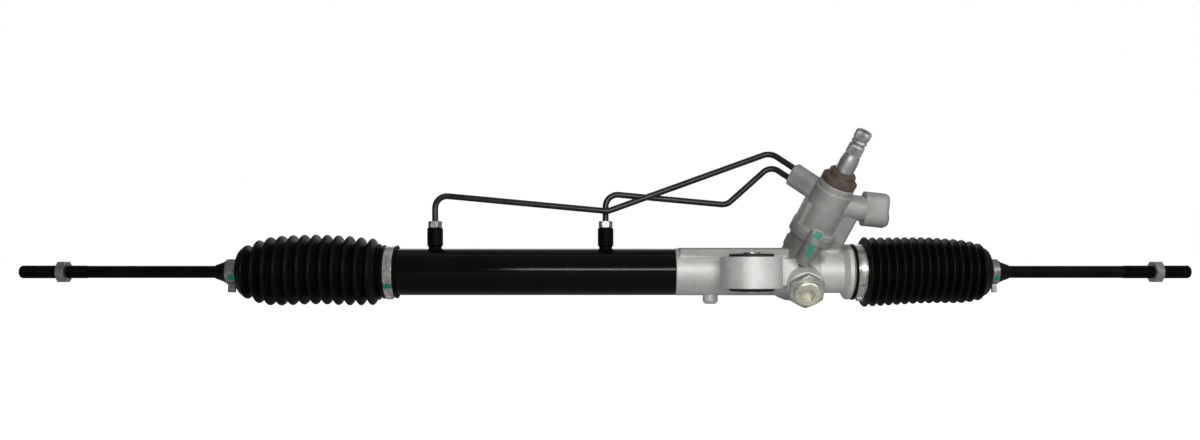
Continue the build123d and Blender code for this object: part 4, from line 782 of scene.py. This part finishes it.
def input_shaft():
    """Hollow input shaft from the torsion bar's end to the chamfered tip."""
    stations = [(52.0, SHAFT_BORE), (52.0, 6.9), (63.0, 6.9), (63.0, 9.8), (133.0, 9.8), (139.0, 8.8),
                (141.0, 7.9), (141.6, 7.9)]
    lengths = [142.0, 142.3, 144.0, 148.0, 150.8, 151.0, 153.0, 156.0, 158.0, 160.0, 163.0, 166.6,
               167.6, SHAFT_TIP]
    special = {153.0: 6.9, 158.0: 6.9, 167.6: 7.9, SHAFT_TIP: 7.5}
    stations += [(x, special.get(x, SERRATION_RADIUS)) for x in lengths]
    stations += [(SHAFT_TIP, SHAFT_BORE)]
    obj = lathe("input_shaft_serrated", stations, shaft_steel, pinion_axis, SHAFT_SEGMENTS,
                serrated_radius, 35)
    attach(obj, "input_shaft")
    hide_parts("input_shaft")


input_shaft()


# ---------------------------------------------------------------- studio
FLOOR_REACH = 8.0
FLOOR_DARK = (0.78, 0.78, 0.78)
FLOOR_LIGHT = (0.82, 0.82, 0.82)
# glow that lifts the floor to white for the camera, and the share of it that metal mirrors
FLOOR_GLOW = 0.92
GLOSSY_FLOOR = 0.15
# the room's strength low down and overhead, as light and as mirrored by gloss
DIFFUSE_ROOM = (0.05, 0.16)
GLOSSY_ROOM = (0.16, 0.42)
ROOM_HEIGHTS = (-0.3, 0.9)
# the window side, to the right, is brighter than the left
ROOM_SIDES = (0.45, 1.30)
ROOM_WIDTHS = (-0.8, 0.8)
ROOM_COLOUR = (1.0, 0.99, 0.975, 1)
WHITE = (1, 1, 1, 1)


def seen_directly(tree, path):
    """1 where the camera sees a surface itself or through glass."""
    return maths(tree, "MAXIMUM", path.outputs["Is Camera Ray"], path.outputs["Is Transmission Ray"])


def floor_material():
    """Pale floor that the camera sees as white but for the object's shadow."""
    material, tree, out = new_material("floor")
    coords = tree.nodes.new("ShaderNodeTexCoord").outputs["Object"]
    diffuse = tree.nodes.new("ShaderNodeBsdfDiffuse")
    tone = mixed(tree, noise_node(tree, coords, 6.0), FLOOR_DARK, FLOOR_LIGHT)
    tree.links.new(tone, diffuse.inputs["Color"])
    glow = tree.nodes.new("ShaderNodeEmission")
    path = tree.nodes.new("ShaderNodeLightPath")
    mirrored = maths(tree, "MULTIPLY", path.outputs["Is Glossy Ray"], GLOSSY_FLOOR)
    shown = maths(tree, "MAXIMUM", seen_directly(tree, path), mirrored)
    glow.inputs["Color"].default_value = WHITE
    tree.links.new(maths(tree, "MULTIPLY", shown, FLOOR_GLOW), glow.inputs["Strength"])
    both = tree.nodes.new("ShaderNodeAddShader")
    tree.links.new(diffuse.outputs[0], both.inputs[0])
    tree.links.new(glow.outputs[0], both.inputs[1])
    tree.links.new(both.outputs[0], out.inputs[0])
    return material


def make_floor():
    """Flat square floor at the object's lowest point."""
    low = cad_box[0][2]
    reach = FLOOR_REACH
    verts = [(-reach, -reach, low), (reach, -reach, low), (reach, reach, low), (-reach, reach, low)]
    mesh_object("studio_floor", verts, [(0, 1, 2, 3)], floor_material(), smooth=False)


def make_world():
    """White backdrop for the camera, and a dim room that lights the object."""
    world = bpy.data.worlds.new("studio")
    bpy.context.scene.world = world
    world.use_nodes = True
    tree = world.node_tree
    tree.nodes.clear()
    out = tree.nodes.new("ShaderNodeOutputWorld")
    path = tree.nodes.new("ShaderNodeLightPath")
    direction = tree.nodes.new("ShaderNodeTexCoord").outputs["Generated"]
    split = tree.nodes.new("ShaderNodeSeparateXYZ")
    tree.links.new(direction, split.inputs[0])
    level = ramp(tree, split.outputs["Z"], *ROOM_HEIGHTS, *DIFFUSE_ROOM)
    mirrored = ramp(tree, split.outputs["Z"], *ROOM_HEIGHTS, *GLOSSY_ROOM)
    mirrored = maths(tree, "MULTIPLY", mirrored, path.outputs["Is Glossy Ray"])
    level = maths(tree, "MAXIMUM", level, mirrored)
    level = maths(tree, "MULTIPLY", level, ramp(tree, split.outputs["X"], *ROOM_WIDTHS, *ROOM_SIDES))
    lit = tree.nodes.new("ShaderNodeBackground")
    lit.inputs["Color"].default_value = ROOM_COLOUR
    tree.links.new(level, lit.inputs["Strength"])
    plain = tree.nodes.new("ShaderNodeBackground")
    plain.inputs["Color"].default_value = WHITE
    plain.inputs["Strength"].default_value = 1.0
    mix = tree.nodes.new("ShaderNodeMixShader")
    tree.links.new(seen_directly(tree, path), mix.inputs[0])
    tree.links.new(lit.outputs[0], mix.inputs[1])
    tree.links.new(plain.outputs[0], mix.inputs[2])
    tree.links.new(mix.outputs[0], out.inputs[0])


def area_lamp(name, place, target, size, power):
    """Rectangular lamp; place, target and size in metres, power in watts."""
    data = bpy.data.lights.new(name, "AREA")
    data.shape = "RECTANGLE"
    data.size, data.size_y = size
    data.energy = power
    lamp = bpy.data.objects.new(name, data)
    bpy.context.scene.collection.objects.link(lamp)
    lamp.location = place
    lamp.rotation_euler = (Vector(target) - Vector(place)).to_track_quat("-Z", "Y").to_euler()


make_floor()
make_world()
area_lamp("key", (0.20, -0.86, 0.20), (0.20, 0, 0), (0.55, 0.10), 4.3)
area_lamp("soft_front", (0.90, -1.5, 0.60), (0.1, 0, 0), (1.4, 0.5), 3.6)
area_lamp("side", (1.3, -0.7, 0.40), (0.33, 0, 0.03), (0.5, 0.4), 2.4)
area_lamp("top", (0.1, 0.05, 1.4), (0.1, 0, 0), (1.6, 0.6), 0.8)
area_lamp("back", (0.1, 1.5, 0.75), (0.1, 0, 0), (1.4, 0.5), 4.0)
bpy.context.scene.view_settings.view_transform = "Standard"
